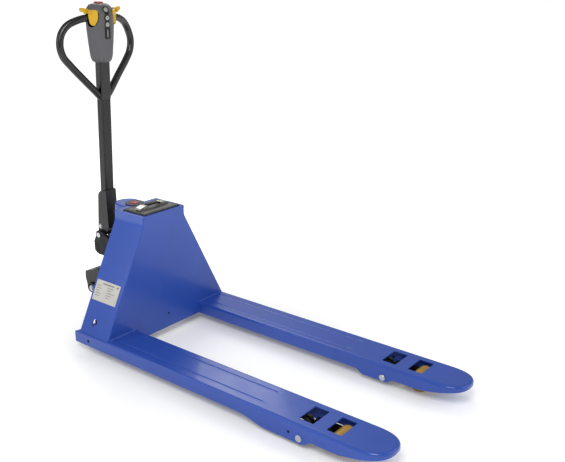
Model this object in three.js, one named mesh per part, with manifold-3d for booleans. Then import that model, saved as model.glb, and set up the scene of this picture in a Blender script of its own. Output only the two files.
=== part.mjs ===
// Electric pallet truck. Millimetres, +Z up, +X towards the fork tips, floor at Z = 0.
// The model is laid out from the load face of the front plate (X = 0) and is then moved so
// that its origin is the middle of the bottom of its bounding box.
import * as THREE from "three";
import { mergeVertices } from "three/addons/utils/BufferGeometryUtils.js";
import Module from "manifold-3d";

const wasm = await Module();
wasm.setup();

// ---------- Driving dimensions ----------
const GAP = 0.3; // between pieces that touch
const SIDES = { right: -1, left: 1 }; // the sign of Y on each side
const LIFT = 110; // travel of the forks

const FORK = {
  centre: 245, // Y of each fork's middle line
  half: 75, // half of a fork's width
  top: 83, // lowered height of the forks
  wall: 35, // lower edge of the side walls
  lug: 15, // lower edge of the outer skirt
  rear: -188,
  noseStart: 1108,
  tip: 1200,
  steel: 4,
  edge: 10, // radius along the top edges
};
// The rounded tip: where it begins, how square it is, and its underside as [x, z].
const NOSE = { start: 1086, power: 2.6 };
const UNDERSIDE = [
  [1040, 35],
  [1070, 40],
  [1100, 46],
  [1125, 51],
  [1150, 56.5],
  [1175, 61],
  [1201, 64],
];
const GROOVE = { offset: 38, half: 5, depth: 2.2, end: 745 };
const WINDOWS = [
  { from: 876, to: 932 },
  { from: 981, to: 1037 },
];
const WINDOW_HALF = 45;

const HOUSING = {
  rear: -161,
  plate: 5, // thickness of the front plate
  sheet: 4,
  footHalf: 316, // half width where the side panels stand on the forks
  kneeHalf: 108, // half width where the side panels turn upright
  knee: 484,
  top: 521,
};
const TONGUE = { half: 50, centre: -210, skirt: 492 };
const BATTERY = { rear: -123, front: -14, half: 87, bottom: 305 };
const ESTOP = { x: -168, flange: 36.5, cup: 22, well: 20, button: 19 };

const SHAFT = { x: -98, z: 126.5, radius: 11, end: 283 };
const PIVOT = { x: 898, z: 33, radius: 10 }; // of the load roller frame
const ROLLER = { x: 1018, radius: 37, half: 35, axle: 10 };
const REAR_ARM = { y: 123, half: 4, boltX: -316, boltZ: 160, bolt: 8 };

const STEER_X = -215; // the steering axis, which is also the lift ram's axis
const WHEEL = { radius: 95, half: 35, axle: 12 };
const RAM = { rod: 18, bore: 21, cylinder: 32, bottom: 300 };

const TILLER = { x: -355, z: 360, lean: 2.85 }; // pivot pin of the tiller and its angle at rest
const TUBE = { x: 15.5, halfX: 17, halfY: 22, bottom: 58, top: 726, wall: 3 };
const HEAD = { bottom: 707, top: 927, front: 37, back: -31 };
const LOOP = { radius: 14, bore: 15, w: 874 };
const PAD = { x: 17, y: 49, angle: 41 }; // the middle of a thumb pad and the way it faces
const THROTTLE = { x: 15, w: 899, shaft: 4, swing: 15 };

// ---------- Finishes ----------
const finish = (color, roughness, metalness) =>
  new THREE.MeshStandardMaterial({ color, roughness, metalness });
const BLUE = finish(0x3850b4, 0.35, 0.1);
const BLACK_PAINT = finish(0x1d1d1f, 0.45, 0.2);
const BLACK_PLASTIC = finish(0x161618, 0.55, 0);
const GREY_PLASTIC = finish(0x66666b, 0.6, 0);
const LID_GREY = finish(0x6d6e5c, 0.6, 0);
const RUBBER = finish(0x1b1b1b, 0.85, 0);
const STEEL = finish(0xb9bcc2, 0.35, 0.9);
const CHROME = finish(0xd8dade, 0.15, 1);
const CAST = finish(0x2b2b2d, 0.6, 0.6);
const YELLOW_PU = finish(0xb8862a, 0.5, 0);
const BLACK_PU = finish(0x232323, 0.6, 0);
const YELLOW_PLASTIC = finish(0xe6ad1c, 0.4, 0);
const RED_PLASTIC = finish(0xb0231c, 0.35, 0);
const LIGHT_PLASTIC = finish(0xd5d3cb, 0.5, 0);
const NAVY_PLASTIC = finish(0x15193a, 0.5, 0);
const PLATE_SILVER = finish(0xcfcbc4, 0.45, 0.5);
const ALUMINIUM = finish(0x9b9ea3, 0.4, 0.9);

// ---------- Solids ----------
const X = new THREE.Vector3(1, 0, 0);
const Y = new THREE.Vector3(0, 1, 0);
const Z = new THREE.Vector3(0, 0, 1);
// Turns a profile drawn in (a, b) and pushed along c so that it is pushed along the named axis:
// along x the profile is (y, z), along y it is (x, z), along z it is (x, y).
const TURNS = {
  x: new THREE.Matrix4().makeBasis(Y, Z, X),
  y: new THREE.Matrix4().makeBasis(X, Z, Y.clone().negate()),
  z: new THREE.Matrix4().makeBasis(X, Y, Z),
};
const DEG = Math.PI / 180;

function solid(geometry) {
  const bare = geometry.clone();
  bare.deleteAttribute("normal");
  bare.deleteAttribute("uv");
  const merged = mergeVertices(bare, 1e-4);
  return new wasm.Manifold(
    new wasm.Mesh({
      numProp: 3,
      vertProperties: new Float32Array(merged.attributes.position.array),
      triVerts: new Uint32Array(merged.index.array),
    }),
  );
}

function geometryOf(shape) {
  const mesh = shape.getMesh();
  const geometry = new THREE.BufferGeometry();
  geometry.setAttribute("position", new THREE.BufferAttribute(mesh.vertProperties, 3));
  geometry.setIndex(new THREE.BufferAttribute(mesh.triVerts, 1));
  const faceted = geometry.toNonIndexed();
  faceted.computeVertexNormals();
  return faceted;
}

// An outline through points [a, b] or [a, b, radius]. A radius rounds its corner, by less where
// the sides beside it are short.
function outline(points) {
  const shape = new THREE.Shape();
  const count = points.length;
  const at = (i) => new THREE.Vector2(...points[(i + count) % count].slice(0, 2));
  points.forEach(([, , radius = 0], i) => {
    const corner = at(i);
    const before = at(i - 1).sub(corner);
    const after = at(i + 1).sub(corner);
    const reach = Math.min(radius, before.length() * 0.49, after.length() * 0.49);
    const start = corner.clone().add(before.setLength(reach));
    const end = corner.clone().add(after.setLength(reach));
    if (i === 0) shape.moveTo(start.x, start.y);
    else shape.lineTo(start.x, start.y);
    if (reach > 0) shape.quadraticCurveTo(corner.x, corner.y, end.x, end.y);
  });
  shape.closePath();
  return shape;
}

function prism(shape, axis, from, to, curveSegments = 3) {
  const geometry = new THREE.ExtrudeGeometry(shape, {
    depth: to - from,
    bevelEnabled: false,
    curveSegments,
  });
  geometry.applyMatrix4(TURNS[axis]);
  const start = axis === "y" ? to : from;
  const shift = { x: X, y: Y, z: Z }[axis].clone().multiplyScalar(start);
  geometry.translate(shift.x, shift.y, shift.z);
  return solid(geometry);
}

function block(x0, x1, y0, y1, z0, z1) {
  const geometry = new THREE.BoxGeometry(x1 - x0, y1 - y0, z1 - z0);
  geometry.translate((x0 + x1) / 2, (y0 + y1) / 2, (z0 + z1) / 2);
  return solid(geometry);
}

// A round bar along an axis, at the two other coordinates in the order x, y, z.
function bar(axis, radius, from, to, at = [0, 0], segments = 16) {
  const geometry = new THREE.CylinderGeometry(radius, radius, to - from, segments);
  const middle = (from + to) / 2;
  if (axis === "x") geometry.rotateZ(-Math.PI / 2).translate(middle, at[0], at[1]);
  if (axis === "y") geometry.translate(at[0], middle, at[1]);
  if (axis === "z") geometry.rotateX(Math.PI / 2).translate(at[0], at[1], middle);
  return solid(geometry);
}

const pipe = (axis, outer, inner, from, to, at, segments) =>
  bar(axis, outer, from, to, at, segments).subtract(
    bar(axis, inner, from - 1, to + 1, at, segments),
  );

// A body of revolution about an axis through the origin, from [radius, along] points.
function turned(points, axis, segments = 24) {
  const profile = points.map(([radius, along]) => new THREE.Vector2(radius, along));
  const geometry = new THREE.LatheGeometry(profile, segments);
  if (axis === "z") geometry.rotateX(Math.PI / 2);
  if (axis === "x") geometry.rotateZ(-Math.PI / 2);
  return solid(geometry);
}

// The outline around two circles, as a flat link has.
function link(x0, z0, r0, x1, z1, r1) {
  const along = Math.atan2(z1 - z0, x1 - x0);
  const spread = Math.acos((r0 - r1) / Math.hypot(x1 - x0, z1 - z0));
  const shape = new THREE.Shape();
  shape.absarc(x0, z0, r0, along + spread, along - spread + 2 * Math.PI, false);
  shape.absarc(x1, z1, r1, along - spread, along + spread, false);
  shape.closePath();
  return shape;
}

const span = (a, b) => [Math.min(a, b), Math.max(a, b)];
const joined = (first, ...rest) => rest.reduce((sum, next) => sum.add(next), first);
const cut = (first, ...rest) => rest.reduce((left, next) => left.subtract(next), first);

function add(group, name, shape, material) {
  const mesh = new THREE.Mesh(geometryOf(shape), material);
  mesh.name = name;
  group.add(mesh);
  return mesh;
}

function groupAt(parent, x = 0, y = 0, z = 0) {
  const group = new THREE.Group();
  group.position.set(x, y, z);
  parent.add(group);
  return group;
}

// ---------- Lifting linkage ----------
// Each roller frame turns by ROLLER_SWING while the forks rise; the rear arms of the rocker
// turn by ROCKER_SWING. The push rods lie level at ROD.z, where both cranks meet them.
const rollerArm = Math.hypot(ROLLER.x - PIVOT.x, ROLLER.radius - PIVOT.z);
const ROLLER_SWING =
  Math.asin((ROLLER.radius - PIVOT.z) / rollerArm) +
  Math.asin((LIFT - (ROLLER.radius - PIVOT.z)) / rollerArm);
const rearArm = Math.hypot(REAR_ARM.boltX - SHAFT.x, REAR_ARM.boltZ - SHAFT.z);
const rearAngle = Math.asin((REAR_ARM.boltZ - SHAFT.z) / rearArm);
const ROCKER_SWING = rearAngle + Math.asin((LIFT - (REAR_ARM.boltZ - SHAFT.z)) / rearArm);
const frontHalf = ROLLER_SWING / 2;
const rearHalf = ROCKER_SWING / 2;
const crankRatio = Math.sin(frontHalf) / Math.sin(rearHalf);
const FRONT_CRANK =
  (SHAFT.z - PIVOT.z) / (Math.cos(frontHalf) + crankRatio * Math.cos(rearHalf));
const REAR_CRANK = FRONT_CRANK * crankRatio;
const ROD = {
  z: PIVOT.z + FRONT_CRANK * Math.cos(frontHalf),
  front: PIVOT.x - FRONT_CRANK * Math.sin(frontHalf),
  rear: SHAFT.x - REAR_CRANK * Math.sin(rearHalf),
  radius: 7,
  pin: 6,
};
// The slotted eyes round the crank pins: half width, and reach below and above the rod's axis.
const FRONT_EYE = { half: 7.4, low: 7.2, high: 12.2 };
const REAR_EYE = { half: 7.2, low: 9.6, high: 7.4 };

// ---------- Forks ----------
// What is cut away below one side wall: everything under its lower edge.
function underWall(edge, from, to) {
  const floor = FORK.lug - 1;
  const start = FORK.rear - 1;
  const end = FORK.noseStart + 1;
  return prism(outline([[start, floor], [start, FORK.wall], ...edge, [end, floor]]), "y", from, to);
}

function forkChannel(side) {
  const { half, top, steel, edge, lug, wall, rear, noseStart } = FORK;
  const outer = outline([
    [-half, lug],
    [-half, top, edge],
    [half, top, edge],
    [half, lug],
  ]);
  const inside = outline([
    [steel - half, lug - 1],
    [steel - half, top - steel, edge - steel],
    [half - steel, top - steel, edge - steel],
    [half - steel, lug - 1],
  ]);
  const rise = UNDERSIDE.slice(0, 3).map(([x, z]) => [x, z, 20]);
  rise.push([noseStart + 1, 48]);
  const skirt = [[675, wall, 30], [745, lug, 34], [912, lug, 10], [942, wall, 6], ...rise];
  const bracket = [[790, wall, 10], [812, 19, 10], [914, 19, 8], [938, wall, 6], ...rise];
  const wallSides = [
    { edge: skirt, sign: side },
    { edge: bracket, sign: -side },
  ];
  const trims = wallSides.map(({ edge: lower, sign }) => underWall(lower, ...span(0, sign * 100)));
  const groove = (y) =>
    prism(
      outline([
        [y - GROOVE.half, top + 1],
        [y - GROOVE.half, top],
        [y, top - GROOVE.depth],
        [y + GROOVE.half, top],
        [y + GROOVE.half, top + 1],
      ]),
      "x",
      GAP,
      GROOVE.end,
    );
  const windows = WINDOWS.map(({ from, to }) =>
    block(from, to, -WINDOW_HALF, WINDOW_HALF, top - 20, top + 1),
  );
  const crankSlot = block(SHAFT.x - 52, SHAFT.x + 52, -14, 14, top - 20, top + 1);
  const axleBore = bar("y", PIVOT.radius + GAP, -100, 100, [PIVOT.x, PIVOT.z]);
  const outward = (x, radius, z) => bar("y", radius, ...span(0, side * 100), [x, z], 12);
  const heel = prism(
    outline([[rear - 1, top - 6], [rear + 24, top + 1], [rear - 1, top + 1]]),
    "y",
    -100,
    100,
  );
  return cut(
    prism(outer, "x", rear, noseStart),
    prism(inside, "x", rear - 1, noseStart + 1),
    ...trims,
    groove(GROOVE.offset),
    groove(-GROOVE.offset),
    ...windows,
    crankSlot,
    axleBore,
    outward(-111, 6, 56),
    outward(858, 5, 42),
    heel,
  );
}

// The rounded tip: a plan outline met with a side outline that rises like a ski.
function forkNose() {
  const { half, top, edge, noseStart, tip, steel } = FORK;
  const steps = 22;
  const plan = (inset) => {
    const reach = tip - NOSE.start - inset;
    const width = half - inset;
    const tipArc = Array.from({ length: steps + 1 }, (_, i) => {
      const turn = Math.PI * (i / steps - 0.5);
      const across = Math.abs(Math.sin(turn)) ** (2 / NOSE.power);
      const along = Math.abs(Math.cos(turn)) ** (2 / NOSE.power);
      return [NOSE.start + reach * along, Math.sign(turn) * width * across];
    });
    const start = noseStart - inset - 30;
    return outline([[start, -width], ...tipArc, [start, width]]);
  };
  const side = (inset) =>
    outline([
      [noseStart - 2, top - inset],
      [tip + 1, top - inset],
      ...UNDERSIDE.slice(3)
        .reverse()
        .map(([x, z]) => [x, z + inset, 20]),
      [noseStart - 2, 47.3 + inset],
    ]);
  const hull = new THREE.ExtrudeGeometry(plan(edge), {
    depth: top - edge,
    bevelEnabled: true,
    bevelThickness: edge,
    bevelSize: edge,
    bevelSegments: 2,
  });
  const trim = block(noseStart - 40, noseStart + GAP, -100, 100, -10, 100);
  const body = solid(hull).intersect(prism(side(0), "y", -half - 1, half + 1, 4)).subtract(trim);
  const inner = prism(plan(steel + 1), "z", 0, top, 7).intersect(
    prism(side(steel), "y", -half, half, 4),
  );
  return body.subtract(inner);
}

function rollerFrame() {
  const z = ROLLER.radius;
  const cheek = link(PIVOT.x, PIVOT.z, 19, ROLLER.x, z, 17);
  const crank = link(PIVOT.x, PIVOT.z, 15, ROD.front, ROD.z, 10.5);
  const plates = [-1, 1].flatMap((sign) => {
    const plate = (shape, near, far) => prism(shape, "y", ...span(sign * near, sign * far), 2);
    return [plate(cheek, 38, 44), plate(crank, 7.6, 13.6)];
  });
  const sleeve = bar("y", 13.5, -44, 44, [PIVOT.x, PIVOT.z]);
  const pin = bar("y", ROD.pin, -13, 13, [ROD.front, ROD.z], 16);
  return cut(
    joined(sleeve, ...plates, pin),
    bar("y", PIVOT.radius + GAP, -60, 60, [PIVOT.x, PIVOT.z]),
    bar("y", ROLLER.axle + GAP, -60, 60, [ROLLER.x, z]),
  );
}

// A level rod with a flat eye at the front and a two-plate fork at the rear, both with play.
function pushRod() {
  const { z, front, rear, radius } = ROD;
  const slot = (x, { half, low, high }) =>
    outline([
      [x - half, z - low, 5],
      [x + half, z - low, 5],
      [x + half, z + high, 5],
      [x - half, z + high, 5],
    ]);
  const plate = (x, reach, below, above) =>
    outline([
      [x - reach, z - below, 5],
      [x + reach, z - below, 5],
      [x + reach, z + above, 5],
      [x - reach, z + above, 5],
    ]);
  const rod = bar("x", radius, rear + 18, front - 11, [0, z], 12);
  const bridge = block(rear + 17, rear + 32, -13, 13, z - 10, z + 10);
  const fork = [-1, 1].map((sign) =>
    prism(plate(rear + 8, 22, 13, 13), "y", ...span(sign * 7, sign * 13), 2),
  );
  const eye = prism(plate(front, 14, 13, 16), "y", -5, 5, 2);
  return cut(
    joined(rod, bridge, ...fork, eye),
    prism(slot(front, FRONT_EYE), "y", -20, 20, 2),
    prism(slot(rear, REAR_EYE), "y", -20, 20, 2),
  );
}

function loadRoller() {
  const r = ROLLER.radius;
  const w = ROLLER.half;
  return {
    tyre: turned(
      [[26, -w], [r - 4, -w], [r, 5 - w], [r, w - 5], [r - 4, w], [26, w], [26, -w]],
      "y",
      24,
    ),
    core: turned(
      [
        [ROLLER.axle + GAP, -w - 2],
        [16, -w - 2],
        [26 - GAP, 3 - w],
        [26 - GAP, w - 3],
        [16, w + 2],
        [ROLLER.axle + GAP, w + 2],
        [ROLLER.axle + GAP, -w - 2],
      ],
      "y",
      16,
    ),
  };
}

function buildFork(truck, label) {
  const side = SIDES[label];
  const fork = groupAt(truck, 0, side * FORK.centre, 0);
  add(fork, `fork_channel_${label}`, forkChannel(side), BLUE);
  add(fork, `fork_nose_${label}`, forkNose(), BLUE);
  const bolt = joined(
    bar("y", PIVOT.radius, -FORK.half - 1, FORK.half + 1, [PIVOT.x, PIVOT.z]),
    bar("y", PIVOT.radius + 2, FORK.half + GAP, FORK.half + 3, [PIVOT.x, PIVOT.z]),
    bar("y", PIVOT.radius + 2, -FORK.half - 3, -FORK.half - GAP, [PIVOT.x, PIVOT.z]),
  );
  add(fork, `roller_pivot_axle_${label}`, bolt, STEEL);
  add(fork, `roller_frame_${label}`, rollerFrame(), BLACK_PAINT);
  add(fork, `push_rod_${label}`, pushRod(), STEEL);
  const wheel = groupAt(fork, ROLLER.x, 0, ROLLER.radius);
  const roller = loadRoller();
  add(wheel, `load_roller_tyre_${label}`, roller.tyre, YELLOW_PU);
  add(wheel, `load_roller_core_${label}`, roller.core, STEEL);
  add(wheel, `load_roller_axle_${label}`, bar("y", ROLLER.axle, -47, 47), STEEL);
}

// ---------- Housing ----------
function frontPlate() {
  const { plate, footHalf, kneeHalf, knee, top } = HOUSING;
  const foot = FORK.top + GAP;
  const between = FORK.centre - FORK.half - GAP;
  const half = [
    [kneeHalf, top, 4],
    [kneeHalf, knee],
    [footHalf, foot],
    [between, foot],
    [between, FORK.wall],
  ];
  const mirrored = half.map(([y, z, r]) => [-y, z, r]).reverse();
  return prism(outline([...mirrored, ...half]), "x", -plate, 0).subtract(
    bar("x", 5, -plate - 1, 1, [0, 92], 16),
  );
}

function sidePanel(side) {
  const { plate, sheet, footHalf, kneeHalf, knee, top, rear } = HOUSING;
  const foot = FORK.top + GAP;
  const slope = (footHalf - kneeHalf) / (knee - foot);
  const footInner = footHalf - sheet * Math.hypot(1, slope);
  const kneeInner = foot + (footInner - kneeHalf + sheet) / slope;
  const shape = outline(
    [
      [footHalf, foot],
      [kneeHalf, knee, 12],
      [kneeHalf, top],
      [kneeHalf - sheet, top],
      [kneeHalf - sheet, kneeInner, 8],
      [footInner, foot],
    ].map(([y, z, r]) => [side * y, z, r]),
  );
  const hole = bar("y", 13, -400, 400, [SHAFT.x, SHAFT.z]);
  return prism(shape, "x", rear, -plate - GAP).subtract(hole);
}

// The top plate, with a rounded tongue over the lift ram and a skirt round the tongue.
function topCap() {
  const { plate, sheet, kneeHalf, top, rear } = HOUSING;
  const { half, centre, skirt } = TONGUE;
  const width = kneeHalf - sheet - GAP;
  const front = -plate - GAP;
  const opening = BATTERY.half + 1;
  const plan = (inset, start) => {
    const shape = new THREE.Shape();
    shape.moveTo(start, half - inset);
    shape.lineTo(centre + 1, half - inset);
    shape.absarc(centre, 0, half - inset, Math.PI / 2, (3 * Math.PI) / 2, false);
    shape.lineTo(start, inset - half);
    shape.closePath();
    return shape;
  };
  const deck = joined(
    block(rear, front, -width, width, top - sheet, top),
    prism(plan(0, rear + 1), "z", skirt, top, 9),
  );
  return cut(
    deck,
    prism(plan(sheet, rear + 2), "z", skirt - 1, top - sheet, 9),
    block(BATTERY.rear - 1, BATTERY.front + 1, -opening, opening, top - 9, top + 1),
    bar("z", ESTOP.cup + GAP, top - 9, top + 1, [ESTOP.x, 0], 24),
    bar("z", 5, top - 9, top + 1, [-168, -43], 14),
  );
}

function buildHousing(truck) {
  add(truck, "front_plate", frontPlate(), BLUE);
  for (const [label, side] of Object.entries(SIDES)) {
    add(truck, `side_panel_${label}`, sidePanel(side), BLUE);
    // The plate that carries the rocker shaft, standing on the fork's inner edge.
    const y = side * 185;
    const carrier = prism(
      outline([
        [SHAFT.x - 34, FORK.top + GAP],
        [SHAFT.x - 34, 110, 10],
        [SHAFT.x - 16, 148, 14],
        [SHAFT.x + 16, 148, 14],
        [SHAFT.x + 34, 110, 10],
        [SHAFT.x + 34, FORK.top + GAP],
      ]),
      "y",
      y - 4,
      y + 4,
    );
    const bore = bar("y", SHAFT.radius + 3 + GAP, -300, 300, [SHAFT.x, SHAFT.z]);
    add(truck, `shaft_carrier_${label}`, carrier.subtract(bore), BLUE);
    const bush = pipe("y", SHAFT.radius + 3, SHAFT.radius + GAP, y - 8, y + 8, [SHAFT.x, SHAFT.z]);
    add(truck, `shaft_bush_${label}`, bush, CAST);
  }
  add(truck, "top_cap", topCap(), BLUE);
  add(truck, "motor_controller", block(-88, -14, -80, 80, 165, 285), ALUMINIUM);
  add(truck, "nameplate", nameplate(), PLATE_SILVER);
}

// A plate lying on the slope of the right side panel.
function nameplate() {
  const { footHalf, kneeHalf, knee } = HOUSING;
  const foot = FORK.top + GAP;
  const slope = Math.atan2(footHalf - kneeHalf, knee - foot);
  const centre = 236;
  const y = footHalf - (centre - foot) * Math.tan(slope);
  const geometry = new THREE.BoxGeometry(134, 1, 80);
  geometry.translate(0, -GAP - 0.5, 0);
  geometry.rotateX(-slope);
  geometry.translate(-85, -y, centre);
  return solid(geometry);
}

function buildBattery(truck) {
  const { rear, front, half, bottom } = BATTERY;
  const top = HOUSING.top;
  const caseShape = outline([
    [rear, -half, 8],
    [front, -half, 8],
    [front, half, 8],
    [rear, half, 8],
  ]);
  add(truck, "battery_case", prism(caseShape, "z", bottom, top, 3), BLACK_PLASTIC);
  const ring = (inset) =>
    outline([
      [-131 + inset, inset - 94, 4],
      [-6 - inset, inset - 94, 4],
      [-6 - inset, 94 - inset, 4],
      [-131 + inset, 94 - inset, 4],
    ]);
  const seal = prism(ring(0), "z", top + GAP, top + 3.5, 3).subtract(
    prism(ring(7), "z", top - 1, top + 5, 3),
  );
  add(truck, "lid_gasket", seal, RUBBER);
  add(truck, "battery_lid", prism(ring(7 + GAP), "z", top + GAP, top + 5, 3), LID_GREY);

  const deck = top + 5 + GAP;
  const strapX = -66;
  for (const [label, side] of Object.entries(SIDES)) {
    const cap = outline(
      [
        [34, deck],
        [74, deck, 3],
        [74, deck + 9, 5],
        [50, deck + 15, 6],
        [34, deck + 15, 2],
      ].map(([y, z, r]) => [side * y, z, r]),
    );
    const shell = prism(cap, "x", strapX - 13, strapX + 13, 3);
    const pocket = block(strapX - 9.5, strapX + 9.5, -56, 56, deck + 6, deck + 13);
    add(truck, `strap_cap_${label}`, shell.subtract(pocket), CHROME);
  }
  const strap = outline([
    [-54, deck + 7],
    [-32, deck + 7, 6],
    [-26, deck + 10, 6],
    [26, deck + 10, 6],
    [32, deck + 7, 6],
    [54, deck + 7],
    [54, deck + 12],
    [33, deck + 12, 4],
    [28, deck + 18, 6],
    [-28, deck + 18, 6],
    [-33, deck + 12, 4],
    [-54, deck + 12],
  ]);
  add(truck, "strap_handle", prism(strap, "x", strapX - 8.5, strapX + 8.5, 3), RUBBER);
}

function buildStopSwitch(truck) {
  const stop = groupAt(truck, ESTOP.x, 0, HOUSING.top);
  const { flange, cup, well, button } = ESTOP;
  const base = [
    [8.6, -10],
    [cup, -10],
    [cup, GAP],
    [flange, GAP],
    [flange, 2.6],
    [flange - 2, 4.2],
    [well, 4.2],
    [well, -8],
    [8.6, -8],
    [8.6, -10],
  ];
  add(stop, "estop_base", turned(base, "z", 24), NAVY_PLASTIC);
  const cap = [
    [0, -12],
    [8, -12],
    [8, -1],
    [button, -1],
    [button, 4],
    [button - 2, 6],
    [button - 8, 6.6],
    [0, 6.6],
  ];
  add(stop, "estop_button", turned(cap, "z", 24), RED_PLASTIC);
}

// ---------- Rocker ----------
function rockerShaft() {
  const { x, z, radius, end } = SHAFT;
  const shaft = bar("y", radius, -end, end, [x, z]);
  const cranks = Object.values(SIDES).flatMap((side) => {
    const y = side * FORK.centre;
    const web = link(x, z, 19, ROD.rear, ROD.z, 11);
    return [
      prism(web, "y", y - 5.5, y + 5.5, 2),
      bar("y", ROD.pin, y - 14, y + 14, [ROD.rear, ROD.z], 16),
    ];
  });
  const { y: armY, half, bolt } = REAR_ARM;
  const arms = Object.values(SIDES).map((side) => {
    const reach = rearArm + 7;
    const endX = x - reach * Math.cos(rearAngle);
    const endZ = z + reach * Math.sin(rearAngle);
    const [near, far] = [side * armY - half, side * armY + half];
    const arm = prism(link(x, z, 19, endX, endZ, 21), "y", near, far, 2);
    // The bolt travels outwards and up in the arm's slot as the forks rise.
    const slotAt = (distance, up) => [
      x - distance * Math.cos(rearAngle) + up * Math.sin(rearAngle),
      z + distance * Math.sin(rearAngle) + up * Math.cos(rearAngle),
    ];
    const inner = slotAt(rearArm - 3, 0.2);
    const outer = slotAt(rearArm + 11, 2.8);
    const slot = link(...inner, bolt + 1.5, ...outer, bolt + 3.2);
    return arm.subtract(prism(slot, "y", near - 1, far + 1, 3));
  });
  return joined(shaft, ...cranks, ...arms);
}

// ---------- Lift carriage: the bracket over the drive wheel that does not steer ----------
function buildCarriage(truck) {
  const inner = 112;
  const outer = 118;
  const deckLow = 236;
  const deckTop = 244;
  const { boltX, boltZ, bolt, y: armY, half } = REAR_ARM;
  const cheek = outline([
    [-361, 224, 3],
    [-364, 196, 20],
    [-346, boltZ - 22, 14],
    [boltX + 4, boltZ - 22, 14],
    [-290, 176, 20],
    [-276, 212, 10],
    [-150, 226, 10],
    [-150, deckTop],
    [-300, deckTop, 10],
  ]);
  const deck = block(-300, -150, -inner - 1, inner + 1, deckLow, deckTop);
  const cheeks = [prism(cheek, "y", inner, outer), prism(cheek, "y", -outer, -inner)];
  const yoke = cut(
    joined(deck, ...cheeks),
    bar("z", 47, 200, 260, [STEER_X, 0], 24),
    bar("y", bolt + GAP, -150, 150, [boltX, boltZ], 20),
  );
  add(truck, "lift_yoke", yoke, BLACK_PAINT);

  // The rear guard follows the cheeks' upper and rear edges between them.
  const guard = outline([
    [-300 - GAP, deckTop],
    [-361, 224, 4],
    [-364, 196, 20],
    [-348, 150],
    [-345, 150.8],
    [-360, 196, 18],
    [-357, 221, 3],
    [-300 - GAP, deckTop - 4],
  ]);
  add(truck, "wheel_guard", prism(guard, "y", GAP - inner, inner - GAP, 4), BLACK_PLASTIC);

  for (const [label, side] of Object.entries(SIDES)) {
    const face = armY + half;
    const at = [boltX, boltZ];
    const pin = joined(
      bar("y", bolt, ...span(side * (inner - 6), side * (face + GAP)), at),
      bar("y", bolt + 5, ...span(side * (face + GAP), side * (face + 6)), at),
      bar("y", bolt + 4, ...span(side * (inner - 6), side * (inner - GAP)), at, 6),
    );
    add(truck, `arm_bolt_${label}`, pin, STEEL);
  }
  const bearing = pipe("z", 66, 52, deckTop + GAP, deckTop + 3, [STEER_X, 0], 20);
  add(truck, "steering_bearing", bearing, STEEL);
}

// ---------- Turret: pump unit and wheel fork, which steer with the tiller ----------
function pumpHead() {
  const low = 247.3;
  const core = joined(
    bar("z", 56, low, 262, [STEER_X, 0], 20),
    bar("z", 48, 262, 372, [STEER_X, 0], 20),
  );
  const ear = outline([
    [STEER_X, 372, 4],
    [-290, 350, 16],
    [-336, 377, 12],
    [-372, 377, 16],
    [-374, 352, 6],
    [-388, 332, 12],
    [-388, 286, 12],
    [-368, 274, 8],
    [-300, 274, 10],
    [STEER_X, 264],
  ]);
  const ears = [prism(ear, "y", 28, 40), prism(ear, "y", -40, -28)];
  const web = prism(
    outline([
      [STEER_X, 355],
      [-290, 335, 8],
      [-310, 300, 8],
      [-380, 296],
      [-380, 280],
      [-300, 276],
      [STEER_X, 270],
    ]),
    "y",
    -29,
    29,
  );
  return cut(
    joined(core, ...ears, web),
    bar("z", RAM.bore, 276, 400, [STEER_X, 0], 20),
    bar("y", 8 + GAP, -60, 60, [TILLER.x, TILLER.z]),
  );
}

function wheelFork() {
  const leg = outline([
    [STEER_X - 26, 212],
    [STEER_X - 26, 190, 10],
    [STEER_X - 18, 80, 16],
    [STEER_X + 18, 80, 16],
    [STEER_X + 26, 190, 10],
    [STEER_X + 26, 212],
  ]);
  const crown = block(STEER_X - 42, STEER_X + 42, -49, 49, 199, 212);
  return cut(
    joined(
      crown,
      prism(leg, "y", 41, 49),
      prism(leg, "y", -49, -41),
      bar("z", 46, 205, 247, [STEER_X, 0], 20),
    ),
    bar("y", WHEEL.axle + GAP, -60, 60, [STEER_X, WHEEL.radius]),
  );
}

function driveWheel() {
  const r = WHEEL.radius;
  const w = WHEEL.half;
  const bed = r - 16;
  return {
    tyre: turned(
      [[bed, -w], [r - 6, -w], [r, 8 - w], [r, w - 8], [r - 6, w], [bed, w], [bed, -w]],
      "y",
      28,
    ),
    hub: turned(
      [
        [WHEEL.axle + GAP, -w - 3],
        [26, -w - 3],
        [26, 5 - w],
        [66, 5 - w],
        [66, 1 - w],
        [bed - GAP, 1 - w],
        [bed - GAP, w - 1],
        [66, w - 1],
        [66, w - 5],
        [26, w - 5],
        [26, w + 3],
        [WHEEL.axle + GAP, w + 3],
        [WHEEL.axle + GAP, -w - 3],
      ],
      "y",
      28,
    ),
  };
}

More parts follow.
